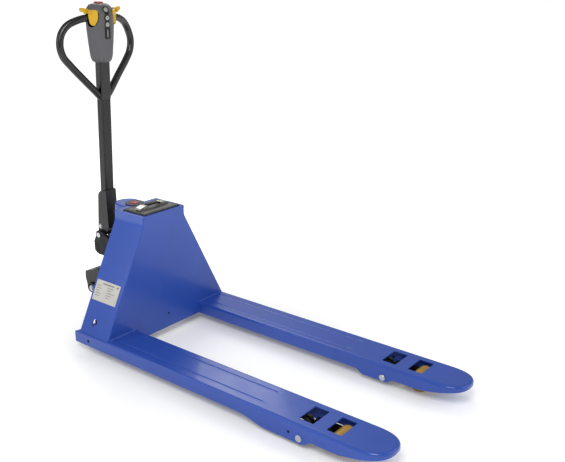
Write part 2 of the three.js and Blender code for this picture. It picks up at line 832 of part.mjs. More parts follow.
function buildTurret(truck) {
  add(truck, "pump_head", pumpHead(), CAST);
  const cylinder = pipe("z", RAM.cylinder, RAM.bore, 372.3, 478, [STEER_X, 0], 20);
  add(truck, "lift_cylinder", cylinder, BLACK_PAINT);
  const tankShape = outline([
    [-158, -56, 8],
    [-120, -46, 10],
    [-120, 46, 10],
    [-158, 56, 8],
  ]);
  add(truck, "oil_tank", prism(tankShape, "z", 250, 296, 3), BLACK_PLASTIC);
  const motor = joined(
    bar("y", 23, 57, 104, [STEER_X, 275], 24),
    bar("y", 19, 103, 109, [STEER_X, 275], 24),
  );
  add(truck, "pump_motor", motor, ALUMINIUM);
  add(truck, "wheel_fork", wheelFork(), BLACK_PAINT);
  add(truck, "wheel_axle", bar("y", WHEEL.axle, -53, 53, [STEER_X, WHEEL.radius]), STEEL);
  const wheel = groupAt(truck, STEER_X, 0, WHEEL.radius);
  const drive = driveWheel();
  add(wheel, "drive_tyre", drive.tyre, BLACK_PU);
  add(wheel, "drive_hub_motor", drive.hub, ALUMINIUM);
  const pin = joined(
    bar("y", 8, -44, 44, [TILLER.x, TILLER.z]),
    bar("y", 11, 40 + GAP, 44, [TILLER.x, TILLER.z]),
    bar("y", 11, -44, -40 - GAP, [TILLER.x, TILLER.z]),
  );
  add(truck, "tiller_pin", pin, STEEL);
  // The ram's rod is fixed under the tongue and slides in the cylinder.
  const rod = joined(
    bar("z", RAM.rod, RAM.bottom, 506, [STEER_X, 0], 20),
    bar("z", 24, 505, HOUSING.top - HOUSING.sheet - GAP, [STEER_X, 0], 20),
  );
  add(truck, "ram_rod", rod, CHROME);
}

// ---------- Tiller, in its own frame: x forward, y sideways, w up along the tube ----------
function tillerBracket() {
  const plate = outline([
    [-17, -4, 14],
    [-18, 24, 10],
    [-11.5, 174, 4],
    [4, 190, 12],
    [37, 197, 5],
    [48, 34, 10],
    [17, -14, 14],
    [-8, -17, 12],
  ]);
  const front = outline([
    [33, 197],
    [37, 197, 3],
    [48, 34, 4],
    [44, 34],
  ]);
  const sides = [prism(plate, "y", 22.6, 26.6), prism(plate, "y", -26.6, -22.6)];
  const boltAt = [-2, 35]; // clear of the ears at every angle
  const bolt = joined(
    bar("y", 5, -22.6, 22.6, boltAt, 16),
    bar("y", 6.5, 26, 30.5, boltAt, 6),
    bar("y", 6.5, -30.5, -26, boltAt, 6),
  );
  return cut(
    joined(...sides, prism(front, "y", -23, 23), bolt),
    bar("y", 8 + GAP, -60, 60, [0, 0]),
  );
}

const tube = (grow) =>
  block(
    TUBE.x - TUBE.halfX - grow,
    TUBE.x + TUBE.halfX + grow,
    -TUBE.halfY - grow,
    TUBE.halfY + grow,
    TUBE.bottom - grow,
    TUBE.top + grow,
  );

// The tube is open at both ends.
function tillerTube() {
  const { x, halfX, halfY, bottom, top, wall } = TUBE;
  const across = halfX - wall;
  const deep = halfY - wall;
  return tube(0).subtract(block(x - across, x + across, -deep, deep, bottom - 1, top + 1));
}

// A round bar bent into the shape of the steering loop.
function loopBar(radius) {
  const half = [
    [0, LOOP.w, 0],
    [36, LOOP.w, 0],
    [70, LOOP.w, -6],
    [104, 865, -16],
    [136, 848, -27],
    [160, 818, -32.5],
    [171, 776, -30],
    [162, 736, -26],
    [134, 700, -19.5],
    [87, 649, -12],
    [34, 592, -1],
    [14, 571, 0],
  ];
  const leftSide = half.map(([y, w, x]) => new THREE.Vector3(TUBE.x + x, y, w));
  const rightSide = half
    .slice(1)
    .map(([y, w, x]) => new THREE.Vector3(TUBE.x + x, -y, w))
    .reverse();
  const path = new THREE.CatmullRomCurve3([...rightSide, ...leftSide], false, "centripetal");
  const section = new THREE.Shape();
  section.absarc(0, 0, radius, 0, 2 * Math.PI, false);
  const geometry = new THREE.ExtrudeGeometry(section, {
    steps: 40,
    curveSegments: 4,
    extrudePath: path,
  });
  return solid(geometry);
}

// The steering loop: one bent tube through the head, its legs meeting the tiller tube.
const steeringLoop = () => cut(loopBar(LOOP.radius), tube(GAP), ...throttleSwings());

// One wing of the throttle: a pad leaning against the head's slanted side, and an ear. Where
// spare is given it is the plain room that the wing needs, larger by that much.
function throttleWing(side, spare = 0) {
  const { x, w } = THROTTLE;
  const grow = spare ? 1.14 : 1;
  const pad = outline(
    [
      [-16, 4, 8],
      [16, 4, 10],
      [18, -26, 14],
      [4, -52, 10],
      [-12, -46, 12],
      [-17, -16, 14],
    ].map(([a, b, r]) => [a * grow, (b + 24) * grow - 24, spare ? 0 : r]),
  );
  const plate = new THREE.ExtrudeGeometry(pad, {
    depth: spare ? 9 + 2 * spare : 5,
    bevelEnabled: !spare,
    bevelThickness: 2,
    bevelSize: 1.5,
    bevelSegments: 1,
    curveSegments: 2,
  });
  plate.applyMatrix4(TURNS.x);
  plate.translate(spare ? -2 - spare : 0, 0, 0);
  // The pad's face turns from straight ahead towards its own side.
  plate.rotateZ(side * PAD.angle * DEG);
  plate.translate(TUBE.x + PAD.x, side * PAD.y, w);
  const hub = bar("y", 9 + spare, ...span(side * (62 - spare), side * 74), [x, w], spare ? 8 : 20);
  const reach = 6 + spare;
  const bridge = block(x, x + 24, ...span(side * (62 - spare), side * 68), w - reach, w + reach);
  if (spare) return joined(solid(plate), hub, bridge);
  const ear = outline(
    [
      [62, w - 4],
      [62, w + 8, 3],
      [92, w + 14, 6],
      [95, w + 2, 8],
      [80, w - 4, 6],
    ].map(([y, height, r]) => [side * y, height, r]),
  );
  return joined(solid(plate), hub, bridge, prism(ear, "x", x - 9, x + 6));
}

function throttle() {
  const shaft = bar("y", THROTTLE.shaft, -70, 70, [THROTTLE.x, THROTTLE.w], 12);
  return joined(throttleWing(-1), throttleWing(1), shaft);
}

// The room that the wings sweep through, which the head and the loop leave free.
function throttleSwings() {
  const { x, w, swing } = THROTTLE;
  return [-3, -2, -1, 0, 1, 2, 3].flatMap((step) =>
    Object.values(SIDES).map((side) =>
      throttleWing(side, 1)
        .translate([-x, 0, -w])
        .rotate([0, (step / 3) * swing, 0])
        .translate([x, 0, w]),
    ),
  );
}

function headShell() {
  const x = TUBE.x;
  const { bottom, top, front, back } = HEAD;
  const sideView = outline([
    [x + 24, bottom, 6],
    [x + front, bottom + 14, 14],
    [x + front, 892, 14],
    [x + 17.5, 922, 12],
    [x - 4, top, 16],
    [x - 24, 924, 12],
    [x + back, 902, 14],
    [x + back + 2, 780, 30],
    [x - 27, bottom + 6, 8],
    [x - 20, bottom, 4],
  ]);
  const frontView = outline([
    [-34, bottom, 10],
    [-49, bottom + 16, 10],
    [-64, 850, 30],
    [-63, 896, 16],
    [-44, 924, 16],
    [0, top + 3, 20],
    [44, 924, 16],
    [63, 896, 16],
    [64, 850, 30],
    [49, bottom + 16, 10],
    [34, bottom, 10],
  ]);
  const section = outline([
    [x + front, -26, 6],
    [x + 2, -66, 10],
    [x - 14, -64, 12],
    [x + back - 1, -37, 12],
    [x + back - 1, 37, 12],
    [x - 14, 64, 12],
    [x + 2, 66, 10],
    [x + front, 26, 6],
  ]);
  const body = prism(sideView, "y", -80, 80)
    .intersect(prism(frontView, "x", -60, 100))
    .intersect(prism(section, "z", 680, 950));
  const hollow = block(x - 24, x + 24, -34, 34, 690, 740);
  const shaftBore = bar("y", THROTTLE.shaft + GAP, -80, 80, [THROTTLE.x, THROTTLE.w], 12);
  const buttonBores = BUTTONS.map((button) => alongButton(button, 9.5, -7, 6));
  const bellyBore = block(x - 24.5, x + 4.5, -14.5, 14.5, 915, 940);
  const bores = [loopBar(LOOP.bore), shaftBore, ...buttonBores, bellyBore];
  const carved = cut(body, hollow, ...bores, ...throttleSwings());
  const pieces = carved.decompose();
  return pieces.sort((a, b) => b.volume() - a.volume())[0];
}

// The three keys: place on the face and tilt of the face there.
const BUTTONS = [
  { name: "lift_button", x: TUBE.x + 29.2, w: 904, tilt: 33 },
  { name: "lower_button", x: TUBE.x + HEAD.front, w: 875.5, tilt: 0 },
  { name: "horn_button", x: TUBE.x + HEAD.front, w: 851, tilt: 0 },
];

// A round bar square to the head's face at a button, from one depth to another.
function alongButton({ x, w, tilt }, radius, from, to) {
  const geometry = new THREE.CylinderGeometry(radius, radius, to - from, 14);
  geometry.translate(0, (from + to) / 2, 0);
  geometry.rotateZ(-Math.PI / 2);
  geometry.rotateY(-tilt * DEG);
  geometry.translate(x, 0, w);
  return solid(geometry);
}

// A thin panel that follows the head's face and crown, with a hole for each key.
function controlStrip() {
  const x = TUBE.x + HEAD.front;
  const near = 0.6;
  const far = 2.2;
  const shape = outline([
    [x + near, 798],
    [x + far, 798],
    [x + far, 892 - 2, 14],
    [x - 16 + far, 918],
    [x - 16 + near, 916.5],
    [x + near, 892 - 1, 14],
  ]);
  return cut(
    prism(shape, "y", -13, 13),
    ...BUTTONS.map((button) => alongButton(button, 9.5, -8, 12)),
  );
}

function buildTiller(truck) {
  const tiller = groupAt(truck, TILLER.x, 0, TILLER.z);
  tiller.rotation.y = TILLER.lean * DEG;
  add(tiller, "tiller_bracket", tillerBracket(), BLACK_PAINT);
  add(tiller, "tiller_tube", tillerTube(), BLACK_PAINT);
  add(tiller, "steering_loop", steeringLoop(), BLACK_PAINT);
  add(tiller, "head_shell", headShell(), GREY_PLASTIC);
  add(tiller, "control_strip", controlStrip(), BLACK_PLASTIC);
  for (const button of BUTTONS)
    add(tiller, button.name, alongButton(button, 8.6, -5, 3.6), LIGHT_PLASTIC);
  add(tiller, "throttle", throttle(), YELLOW_PLASTIC);
  const belly = prism(
    outline([
      [TUBE.x - 24, 917],
      [TUBE.x + 4, 917],
      [TUBE.x + 4, 927, 4],
      [TUBE.x - 4, 933, 6],
      [TUBE.x - 20, 932, 6],
      [TUBE.x - 24, 925, 4],
    ]),
    "y",
    -14,
    14,
  );
  add(tiller, "belly_button", belly, RED_PLASTIC);
}

// ---------- Assembly ----------
const truck = new THREE.Group();
for (const label of Object.keys(SIDES)) buildFork(truck, label);
buildHousing(truck);
buildBattery(truck);
buildStopSwitch(truck);
add(truck, "rocker_shaft", rockerShaft(), BLACK_PAINT);
buildCarriage(truck);
buildTurret(truck);
buildTiller(truck);

// The origin goes to the middle of the bottom of the bounding box.
const bounds = new THREE.Box3().setFromObject(truck, true);
const middle = bounds.getCenter(new THREE.Vector3());
truck.position.set(-middle.x, -middle.y, -bounds.min.z);

const palletTruck = new THREE.Group();
palletTruck.add(truck);

export default palletTruck;
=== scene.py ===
# Looks of the electric pallet truck. Shapes are drawn in millimetres from the load face of the front
# plate (X = 0), as (x forward, y to the left, z up), and are moved into the row frame when a piece is made.
import math

import bmesh
import bpy
from mathutils import Matrix, Vector


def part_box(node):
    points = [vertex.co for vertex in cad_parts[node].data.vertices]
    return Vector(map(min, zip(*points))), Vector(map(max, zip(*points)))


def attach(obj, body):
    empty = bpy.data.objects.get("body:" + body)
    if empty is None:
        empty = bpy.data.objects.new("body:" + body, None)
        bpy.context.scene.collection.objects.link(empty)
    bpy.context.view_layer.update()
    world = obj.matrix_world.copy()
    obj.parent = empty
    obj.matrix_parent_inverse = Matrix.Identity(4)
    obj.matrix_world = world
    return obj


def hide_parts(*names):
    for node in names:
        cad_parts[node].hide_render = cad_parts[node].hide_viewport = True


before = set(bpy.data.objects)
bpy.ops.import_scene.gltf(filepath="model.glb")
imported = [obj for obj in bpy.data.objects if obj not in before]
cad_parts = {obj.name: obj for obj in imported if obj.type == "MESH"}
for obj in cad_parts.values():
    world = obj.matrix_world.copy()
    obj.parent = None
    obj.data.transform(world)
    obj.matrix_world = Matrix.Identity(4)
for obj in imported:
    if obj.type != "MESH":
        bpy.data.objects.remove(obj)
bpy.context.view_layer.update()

# ---------- Places ----------
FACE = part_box("front_plate")[1].x
TRUCK = Matrix.Translation((FACE, 0, 0)) @ Matrix.Scale(0.001, 4)
TILLER_PIVOT = (-355, 0, 360)
TILLER_LEAN = math.radians(2.85)
TILLER = TRUCK @ Matrix.Translation(TILLER_PIVOT) @ Matrix.Rotation(TILLER_LEAN, 4, "Y")
SIDES = {"right": -1, "left": 1}
FORK_Y = 245
FORK_TOP = 83
# Axes across the truck, as (x, z).
ROLLER = (1018, 37)
PIVOT = (898, 33)
SHAFT = (-98, 126.5)
# At rest each crank leans back from the vertical by half of its swing.
FRONT_CRANK = 32.33
FRONT_HALF_SWING = math.radians(63.896 / 2)
REAR_CRANK = 68.25
REAR_HALF_SWING = math.radians(29.031 / 2)
ROD_Z = 60.43
ROD_FRONT = PIVOT[0] - FRONT_CRANK * math.sin(FRONT_HALF_SWING)
ROD_REAR = SHAFT[0] - REAR_CRANK * math.sin(REAR_HALF_SWING)
STEER_X = -215
WHEEL_Z = 95
TUBE_X = 15.5
HOUSING_TOP = 521


# ---------- Materials ----------
def set_inputs(node, values):
    for key, value in values.items():
        node.inputs[key].default_value = value


def nodes_of(material):
    material.use_nodes = True
    tree = material.node_tree
    return tree, tree.nodes["Principled BSDF"]


def noise(tree, coordinates, scale, detail, stretch):
    source = coordinates
    if stretch:
        mapping = tree.nodes.new("ShaderNodeMapping")
        mapping.inputs["Scale"].default_value = stretch
        tree.links.new(coordinates, mapping.inputs["Vector"])
        source = mapping.outputs["Vector"]
    node = tree.nodes.new("ShaderNodeTexNoise")
    set_inputs(node, {"Scale": scale, "Detail": detail})
    tree.links.new(source, node.inputs["Vector"])
    return node.outputs["Fac"]


def ramp(tree, factor, stops):
    node = tree.nodes.new("ShaderNodeValToRGB")
    elements = node.color_ramp.elements
    while len(elements) < len(stops):
        elements.new(0.5)
    for element, (position, color) in zip(elements, stops):
        element.position = position
        element.color = (*color, 1)
    tree.links.new(factor, node.inputs["Fac"])
    return node.outputs["Color"]


def linear(hex_color):
    channels = [int(hex_color[i : i + 2], 16) / 255 for i in (0, 2, 4)]
    return tuple(c / 12.92 if c <= 0.04045 else ((c + 0.055) / 1.055) ** 2.4 for c in channels)


def between(tree, factor, low, high, start=0.3, end=0.7):
    node = tree.nodes.new("ShaderNodeMapRange")
    set_inputs(node, {"From Min": start, "From Max": end, "To Min": low, "To Max": high})
    tree.links.new(factor, node.inputs["Value"])
    return node.outputs["Result"]


def surface(
    name, color, roughness,
    metallic=0.0, spread=0.08, patch=9.0, grain=700.0, relief=0.00005, strength=0.3,
    coat=0.0, stretch=None, specular=0.5, subsurface=0.0,
):
    """A procedural finish: colour drifts in patches, roughness varies, and grain gives it relief."""
    material = bpy.data.materials.new(name)
    tree, shader = nodes_of(material)
    coordinates = tree.nodes.new("ShaderNodeTexCoord").outputs["Object"]
    base = linear(color)
    broad = noise(tree, coordinates, patch, 5.0, stretch)
    dark = tuple(c * (1 - spread) for c in base)
    light = tuple(min(1, c * (1 + spread)) for c in base)
    tint = ramp(tree, broad, [(0.3, dark), (0.5, base), (0.7, light)])
    tree.links.new(tint, shader.inputs["Base Color"])
    smear = noise(tree, coordinates, patch * 2.3, 6.0, stretch)
    gloss = between(tree, smear, roughness * 0.82, roughness * 1.2)
    tree.links.new(gloss, shader.inputs["Roughness"])
    look = {"Metallic": metallic, "Specular IOR Level": specular, "Subsurface Weight": subsurface}
    if coat:
        look |= {"Coat Weight": coat, "Coat Roughness": 0.12}
    set_inputs(shader, look)
    bump = tree.nodes.new("ShaderNodeBump")
    set_inputs(bump, {"Strength": strength, "Distance": relief})
    tree.links.new(noise(tree, coordinates, grain, 3.0, stretch), bump.inputs["Height"])
    tree.links.new(bump.outputs["Normal"], shader.inputs["Normal"])
    return material


BLUE = surface(
    "blue_paint", "24479f", 0.34,
    spread=0.05, patch=5, grain=420, strength=0.2, specular=0.32, coat=0.3,
)
BLACK = surface(
    "black_paint", "09090a", 0.34,
    spread=0.2, patch=14, grain=600, relief=0.00004, strength=0.25, specular=0.4,
)
CAST = surface(
    "cast_iron", "151517", 0.55,
    metallic=0.2, spread=0.3, patch=20, grain=260, relief=0.0003, strength=0.6, specular=0.3,
)
PLASTIC = surface(
    "black_plastic", "121214", 0.5,
    spread=0.15, patch=20, grain=1500, relief=0.00008, strength=0.4, specular=0.3,
)
# Near-black painted shade, laid on the cut faces of the head's recesses, seats and bores and on the discs
# inside holes.
SHADE = surface(
    "painted_shade", "0a0a0b", 0.8,
    spread=0.2, patch=25, grain=900, specular=0.1,
)
GREY = surface(
    "grey_plastic", "515154", 0.44,
    spread=0.05, patch=16, grain=1800, relief=0.00006, strength=0.4, specular=0.35,
)
LID = surface(
    "lid_grey", "3c3c38", 0.42,
    spread=0.2, patch=30, grain=1300, relief=0.0001, strength=0.5, specular=0.4,
)
RUBBER = surface(
    "rubber", "101011", 0.55,
    spread=0.2, patch=30, grain=1600, relief=0.0001, strength=0.4, specular=0.35,
)
GRIP = surface(
    "grip_sleeve", "070708", 0.27,
    spread=0.2, patch=24, grain=1400, relief=0.00006,
)
STEEL = surface(
    "bright_steel", "b4b7bd", 0.32,
    metallic=1, spread=0.1, patch=60, grain=500, strength=0.2, stretch=(1, 6, 1),
)
CHROME = surface("chrome", "b9b8b2", 0.24, metallic=1, spread=0.05, patch=40, grain=300, strength=0.08)
ALUMINIUM = surface("aluminium", "8c8f94", 0.42, metallic=0.9, patch=30, strength=0.4)
DARK_STEEL = surface(
    "oiled_steel", "2a2927", 0.45,
    metallic=0.7, spread=0.3, patch=40, grain=400, relief=0.0001, strength=0.4,
)
AMBER = surface(
    "yellow_pu", "9b7626", 0.42,
    spread=0.12, patch=26, grain=500, relief=0.0001, specular=0.35, subsurface=0.08,
)
TYRE = surface(
    "black_pu", "181819", 0.6,
    spread=0.2, patch=26, grain=900, relief=0.0001, strength=0.4, specular=0.3,
)
YELLOW = surface(
    "yellow_plastic", "bd9514", 0.36,
    spread=0.05, patch=18, grain=1200, relief=0.00004, strength=0.25, specular=0.4,
)
RED = surface(
    "red_plastic", "8e1a1f", 0.34,
    spread=0.07, patch=22, grain=1100, relief=0.00004, strength=0.25, specular=0.4,
)
LIGHT = surface("light_plastic", "96958f", 0.45, spread=0.05, patch=30, grain=1200, relief=0.00004)
NAVY = surface("navy_plastic", "0c0c2e", 0.4, spread=0.12, patch=22, grain=1200, specular=0.35)
SILVER = surface("nameplate", "b9b7b1", 0.5, metallic=0.1, spread=0.05, patch=30, grain=900, strength=0.2)
INK = surface("print_grey", "6a6a68", 0.6, spread=0.15, patch=60, grain=900)


# ---------- Outlines ----------
def arc(radius, start, end, steps, centre=(0, 0)):
    """Points round a centre from one angle to another, with both ends."""
    turns = [start + (end - start) * k / steps for k in range(steps + 1)]
    return [(centre[0] + radius * math.cos(t), centre[1] + radius * math.sin(t)) for t in turns]


def circle(radius, centre=(0, 0), count=48):
    return arc(radius, 0, 2 * math.pi, count, centre)[:-1]


def rounded(points, segments=6):
    """An outline through points (a, b) or (a, b, radius), whose radii become curved corners."""
    outline = []
    count = len(points)
    for i, point in enumerate(points):
        corner = Vector(point[:2])
        radius = point[2] if len(point) > 2 else 0
        back = Vector(points[i - 1][:2]) - corner
        forth = Vector(points[(i + 1) % count][:2]) - corner
        reach = min(radius, back.length * 0.49, forth.length * 0.49)
        if reach <= 0:
            outline.append(tuple(corner))
            continue
        start = corner + back.normalized() * reach
        end = corner + forth.normalized() * reach
        for k in range(segments + 1):
            t = k / segments
            outline.append(tuple(start * (1 - t) ** 2 + corner * (2 * t * (1 - t)) + end * t**2))
    return outline


def rectangle(a0, a1, b0, b1, radius, segments=6):
    return rounded([(a0, b0, radius), (a1, b0, radius), (a1, b1, radius), (a0, b1, radius)], segments)


def link(x0, z0, r0, x1, z1, r1, count=14):
    """The outline around two circles."""
    along = math.atan2(z1 - z0, x1 - x0)
    spread = math.acos((r0 - r1) / math.hypot(x1 - x0, z1 - z0))
    far_side = arc(r0, along + spread, along - spread + 2 * math.pi, count, (x0, z0))
    return far_side + arc(r1, along - spread, along + spread, count, (x1, z1))


def mirrored(points, side):
    return [(side * p[0], *p[1:]) for p in points]


def span(side, near, far):
    """The low and the high end of a stretch on one side of the middle."""
    return sorted((side * near, side * far))


def both_ways(half):
    """A turned outline whose half, from the middle outwards, stands on both sides."""
    return [(radius, -along) for radius, along in reversed(half)] + half


# ---------- Solids ----------
def placed(axis, a, b, c):
    return {"x": (c, a, b), "y": (a, c, b), "z": (a, b, c)}[axis]


def ring_faces(bm, rings, closed_rows=False):
    count = len(rings[0])
    pairs = list(zip(rings, rings[1:]))
    if closed_rows:
        pairs.append((rings[-1], rings[0]))
    for low, high in pairs:
        for i in range(count):
            j = (i + 1) % count
            corners = [low[i], low[j], high[j], high[i]]
            unique = list(dict.fromkeys(corners))
            if len(unique) > 2:
                bm.faces.new(unique)


def tidy(bm):
    bmesh.ops.remove_doubles(bm, verts=bm.verts, dist=1e-4)
    bmesh.ops.recalc_face_normals(bm, faces=bm.faces)
    return bm


def loft(sections):
    """A skin over sections, each a list of as many points, closed at both ends."""
    bm = bmesh.new()
    rings = [[bm.verts.new(p) for p in section] for section in sections]
    ring_faces(bm, rings)
    bm.faces.new(rings[0])
    bm.faces.new(rings[-1])
    return tidy(bm)


def prism(points, axis, low, high):
    return loft([[placed(axis, a, b, c) for a, b in points] for c in (low, high)])


def block(x0, x1, y0, y1, z0, z1):
    return prism([(x0, y0), (x1, y0), (x1, y1), (x0, y1)], "z", z0, z1)


def bar(axis, radius, low, high, at=(0, 0), count=48):
    """A round bar; at holds its two other coordinates in the order x, y, z."""
    return prism(circle(radius, at, count), axis, low, high)


def turned(profile, axis, centre=(0, 0, 0), count=64):
    """A body of revolution from (radius, along) points, closed on itself if it starts off the axis."""
    bm = bmesh.new()
    rings = []
    for radius, along in profile:
        if radius < 1e-6:
            vertex = bm.verts.new(Vector(placed(axis, 0, 0, along)) + Vector(centre))
            rings.append([vertex] * count)
            continue
        points = [placed(axis, a, b, along) for a, b in circle(radius, count=count)]
        rings.append([bm.verts.new(Vector(p) + Vector(centre)) for p in points])
    ring_faces(bm, rings, closed_rows=profile[0][0] > 1e-6)
    return tidy(bm)


def blend(p, q, low, high, t):
    """p where t is low, q where it is high, and in proportion between."""
    return p * ((high - t) / (high - low)) + q * ((t - low) / (high - low))


def smooth_path(points, steps):
    """Centripetal Catmull-Rom curve through the points."""
    points = [Vector(p) for p in points]
    ends = [points[0] * 2 - points[1], *points, points[-1] * 2 - points[-2]]
    path = []
    for p0, p1, p2, p3 in zip(ends, ends[1:], ends[2:], ends[3:]):
        t0 = 0
        t1 = t0 + (p1 - p0).length ** 0.5
        t2 = t1 + (p2 - p1).length ** 0.5
        t3 = t2 + (p3 - p2).length ** 0.5
        for k in range(steps):
            t = t1 + (t2 - t1) * k / steps
            a1 = blend(p0, p1, t0, t1, t)
            a2 = blend(p1, p2, t1, t2, t)
            a3 = blend(p2, p3, t2, t3, t)
            b1 = blend(a1, a2, t0, t2, t)
            b2 = blend(a2, a3, t1, t3, t)
            path.append(blend(b1, b2, t1, t2, t))
    return [*path, points[-1]]


def sweep(path, radius, count=24):
    """A round tube along a path of points."""
    points = [Vector(p) for p in path]
    tangents = [
        (points[min(i + 1, len(points) - 1)] - points[max(i - 1, 0)]).normalized()
        for i in range(len(points))
    ]
    normal = tangents[0].orthogonal().normalized()
    sections = []
    for point, tangent in zip(points, tangents):
        normal = (normal - tangent * normal.dot(tangent)).normalized()
        across = tangent.cross(normal)
        sections.append([point + (normal * a + across * b) for a, b in circle(radius, count=count)])
    return loft(sections)


def shifted(bm, y=0, z=0):
    bm.transform(Matrix.Translation((0, y, z)))
    return bm


def merged(first, *others):
    """Several meshes as one, without joining their surfaces."""
    for other in others:
        mesh = bpy.data.meshes.new("part")
        other.to_mesh(mesh)
        first.from_mesh(mesh)
        bpy.data.meshes.remove(mesh)
        other.free()
    return first


def scratch_object(bm, shade=0):
    mesh = bpy.data.meshes.new("scratch")
    for face in bm.faces:
        face.material_index = max(face.material_index, shade)
    bm.to_mesh(mesh)
    bm.free()
    mesh.materials.append(None)
    mesh.materials.append(None)
    obj = bpy.data.objects.new("scratch", mesh)
    bpy.context.scene.collection.objects.link(obj)
    return obj


def combine(base, others, operation, shade=0):
    """base cut by, met with or joined to the others; faces cut with shade 1 take the second material."""
    body = scratch_object(base)
    tools = [scratch_object(other, shade) for other in others]
    for tool in tools:
        modifier = body.modifiers.new("b", "BOOLEAN")
        modifier.operation = operation
        modifier.solver = "EXACT"
        modifier.object = tool
        modifier.material_mode = "INDEX"
    result = bmesh.new()
    result.from_object(body, bpy.context.evaluated_depsgraph_get())
    for obj in [body, *tools]:
        mesh = obj.data
        bpy.data.objects.remove(obj)
        bpy.data.meshes.remove(mesh)
    bmesh.ops.remove_doubles(result, verts=result.verts, dist=1e-3)
    bmesh.ops.dissolve_degenerate(result, edges=result.edges, dist=1e-3)
    return result


def cut(base, *tools, shade=0):
    return combine(base, tools, "DIFFERENCE", shade)


def joined(base, *others):
    return combine(base, others, "UNION")


def met(base, *others):
    return combine(base, others, "INTERSECT")


def round_edges(bm, chosen, radius, segments):
    edges = [e for e in bm.edges if chosen(*[v.co for v in e.verts])]
    bmesh.ops.bevel(
        bm, geom=edges, offset=radius, segments=segments, profile=0.5, affect="EDGES", clamp_overlap=True
    )
    return bm


# ---------- Pieces ----------
def piece(name, bm, body, material, replaces=(), edge=0.6, steps=2, angle=32, where=TRUCK):
    materials = material if isinstance(material, list) else [material]
    mesh = bpy.data.meshes.new(name)
    bm.to_mesh(mesh)
    bm.free()
    mesh.transform(where)
    for m in materials:
        mesh.materials.append(m)
    mesh.shade_smooth()
    if not edge:
        mesh.set_sharp_from_angle(angle=math.radians(angle))
    obj = bpy.data.objects.new(name, mesh)
    bpy.context.scene.collection.objects.link(obj)
    if edge:
        bevel = obj.modifiers.new("edges", "BEVEL")
        bevel.width = edge * 0.001
        bevel.segments = steps
        bevel.limit_method = "ANGLE"
        bevel.angle_limit = math.radians(angle)
        bevel.miter_outer = "MITER_ARC"
        normals = obj.modifiers.new("normals", "WEIGHTED_NORMAL")
        normals.keep_sharp = True
        normals.weight = 80
    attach(obj, body)
    if replaces:
        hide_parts(*([replaces] if isinstance(replaces, str) else replaces))


def refined(node, body, material, edge, steps=2):
    """A piece made from a CAD node's own solid, with its edges broken and its curves shaded smooth."""
    bm = bmesh.new()
    bm.from_mesh(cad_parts[node].data)
    bmesh.ops.remove_doubles(bm, verts=bm.verts, dist=1e-6)
    bmesh.ops.dissolve_limit(
        bm, angle_limit=math.radians(1), verts=bm.verts, edges=bm.edges, delimit={"NORMAL"}
    )
    piece(node + "_fine", bm, body, material, node, edge, steps, where=Matrix.Identity(4))


def bolt_head(across, height, axis, at, along, sign, body, name, washer=0.0, where=TRUCK):
    """A hexagon head with a chamfered crown, on a washer if that has a thickness."""
    low = along + sign * washer
    high = low + sign * height
    start = low - sign * 0.01
    crown = high - sign * 1.1
    middle = Vector(placed(axis, at[0], at[1], 0))
    head = prism(circle(across / math.sqrt(3), at, 6), axis, min(low, high), max(low, high))
    cone = [(0, start), (across * 0.62, start), (across * 0.62, crown), (across * 0.46, high), (0, high)]
    head = met(head, turned(cone, axis, middle, 36))
    if washer:
        disc = [(0, along), (across * 0.75, along), (across * 0.75, low), (0, low)]
        head = merged(head, turned(disc, axis, middle, 36))
    piece(name, head, body, STEEL, edge=0.25, where=where)


# ---------- Camera, floor and light ----------
EYE = (2181.1, -2022.2, 1419.1)
AIM = (582.75, 0.1, 560.1)
LENS = 50.77
SKY_LIGHT = 0.45
LIGHTS = (
    # name, power, size, position, target
    ("key", 74, 1.5, (1.4, -2.4, 3.2), (-0.1, 0, 0.2)),
    ("fill", 26, 2.6, (3.0, 1.4, 2.0), (0, 0, 0.3)),
    ("back", 40, 2.0, (-2.4, 1.8, 2.8), (-0.3, 0, 0.5)),
    ("side", 20, 1.6, (-2.0, -2.6, 1.8), (-0.5, 0, 0.6)),
)


def aimed(name, data, position, target):
    obj = bpy.data.objects.new(name, data)
    obj.location = position
    obj.rotation_euler = (Vector(target) - Vector(position)).to_track_quat("-Z", "Y").to_euler()
    bpy.context.scene.collection.objects.link(obj)
    return obj


def build_camera():
    camera = bpy.data.cameras.new("camera")
    camera.sensor_width = 36
    camera.lens = LENS
    camera.clip_end = 60
    bpy.context.scene.camera = aimed("camera", camera, TRUCK @ Vector(EYE), TRUCK @ Vector(AIM))


def pale_finish():
    """The floor's finish, which turns plain white away from the truck."""
    pale = bpy.data.materials.new("pale_floor")
    tree, shader = nodes_of(pale)
    set_inputs(shader, {"Base Color": (0.9, 0.9, 0.9, 1), "Roughness": 0.9, "Specular IOR Level": 0.1})
    set_inputs(shader, {"Emission Color": (1, 1, 1, 1)})
    place = tree.nodes.new("ShaderNodeTexCoord").outputs["Object"]
    squashed = tree.nodes.new("ShaderNodeVectorMath")
    squashed.operation = "MULTIPLY"
    squashed.inputs[1].default_value = (0.8, 1.15, 0)
    tree.links.new(place, squashed.inputs[0])
    length = tree.nodes.new("ShaderNodeVectorMath")
    length.operation = "LENGTH"
    tree.links.new(squashed.outputs["Vector"], length.inputs[0])
    glow = between(tree, length.outputs["Value"], 0.12, 0.7, 0.55, 1.5)
    tree.links.new(glow, shader.inputs["Emission Strength"])
    return pale


def build_floor():
    bm = bmesh.new()
    bmesh.ops.create_grid(bm, x_segments=2, y_segments=2, size=30)
    mesh = bpy.data.meshes.new("floor")
    bm.to_mesh(mesh)
    bm.free()
    mesh.materials.append(pale_finish())
    floor = bpy.data.objects.new("floor", mesh)
    floor.location = (0, 0, -0.001)
    bpy.context.scene.collection.objects.link(floor)


def build_lights():
    for name, power, size, position, target in LIGHTS:
        light = bpy.data.lights.new(name, "AREA")
        light.energy = power
        light.size = size
        aimed(name, light, position, target)


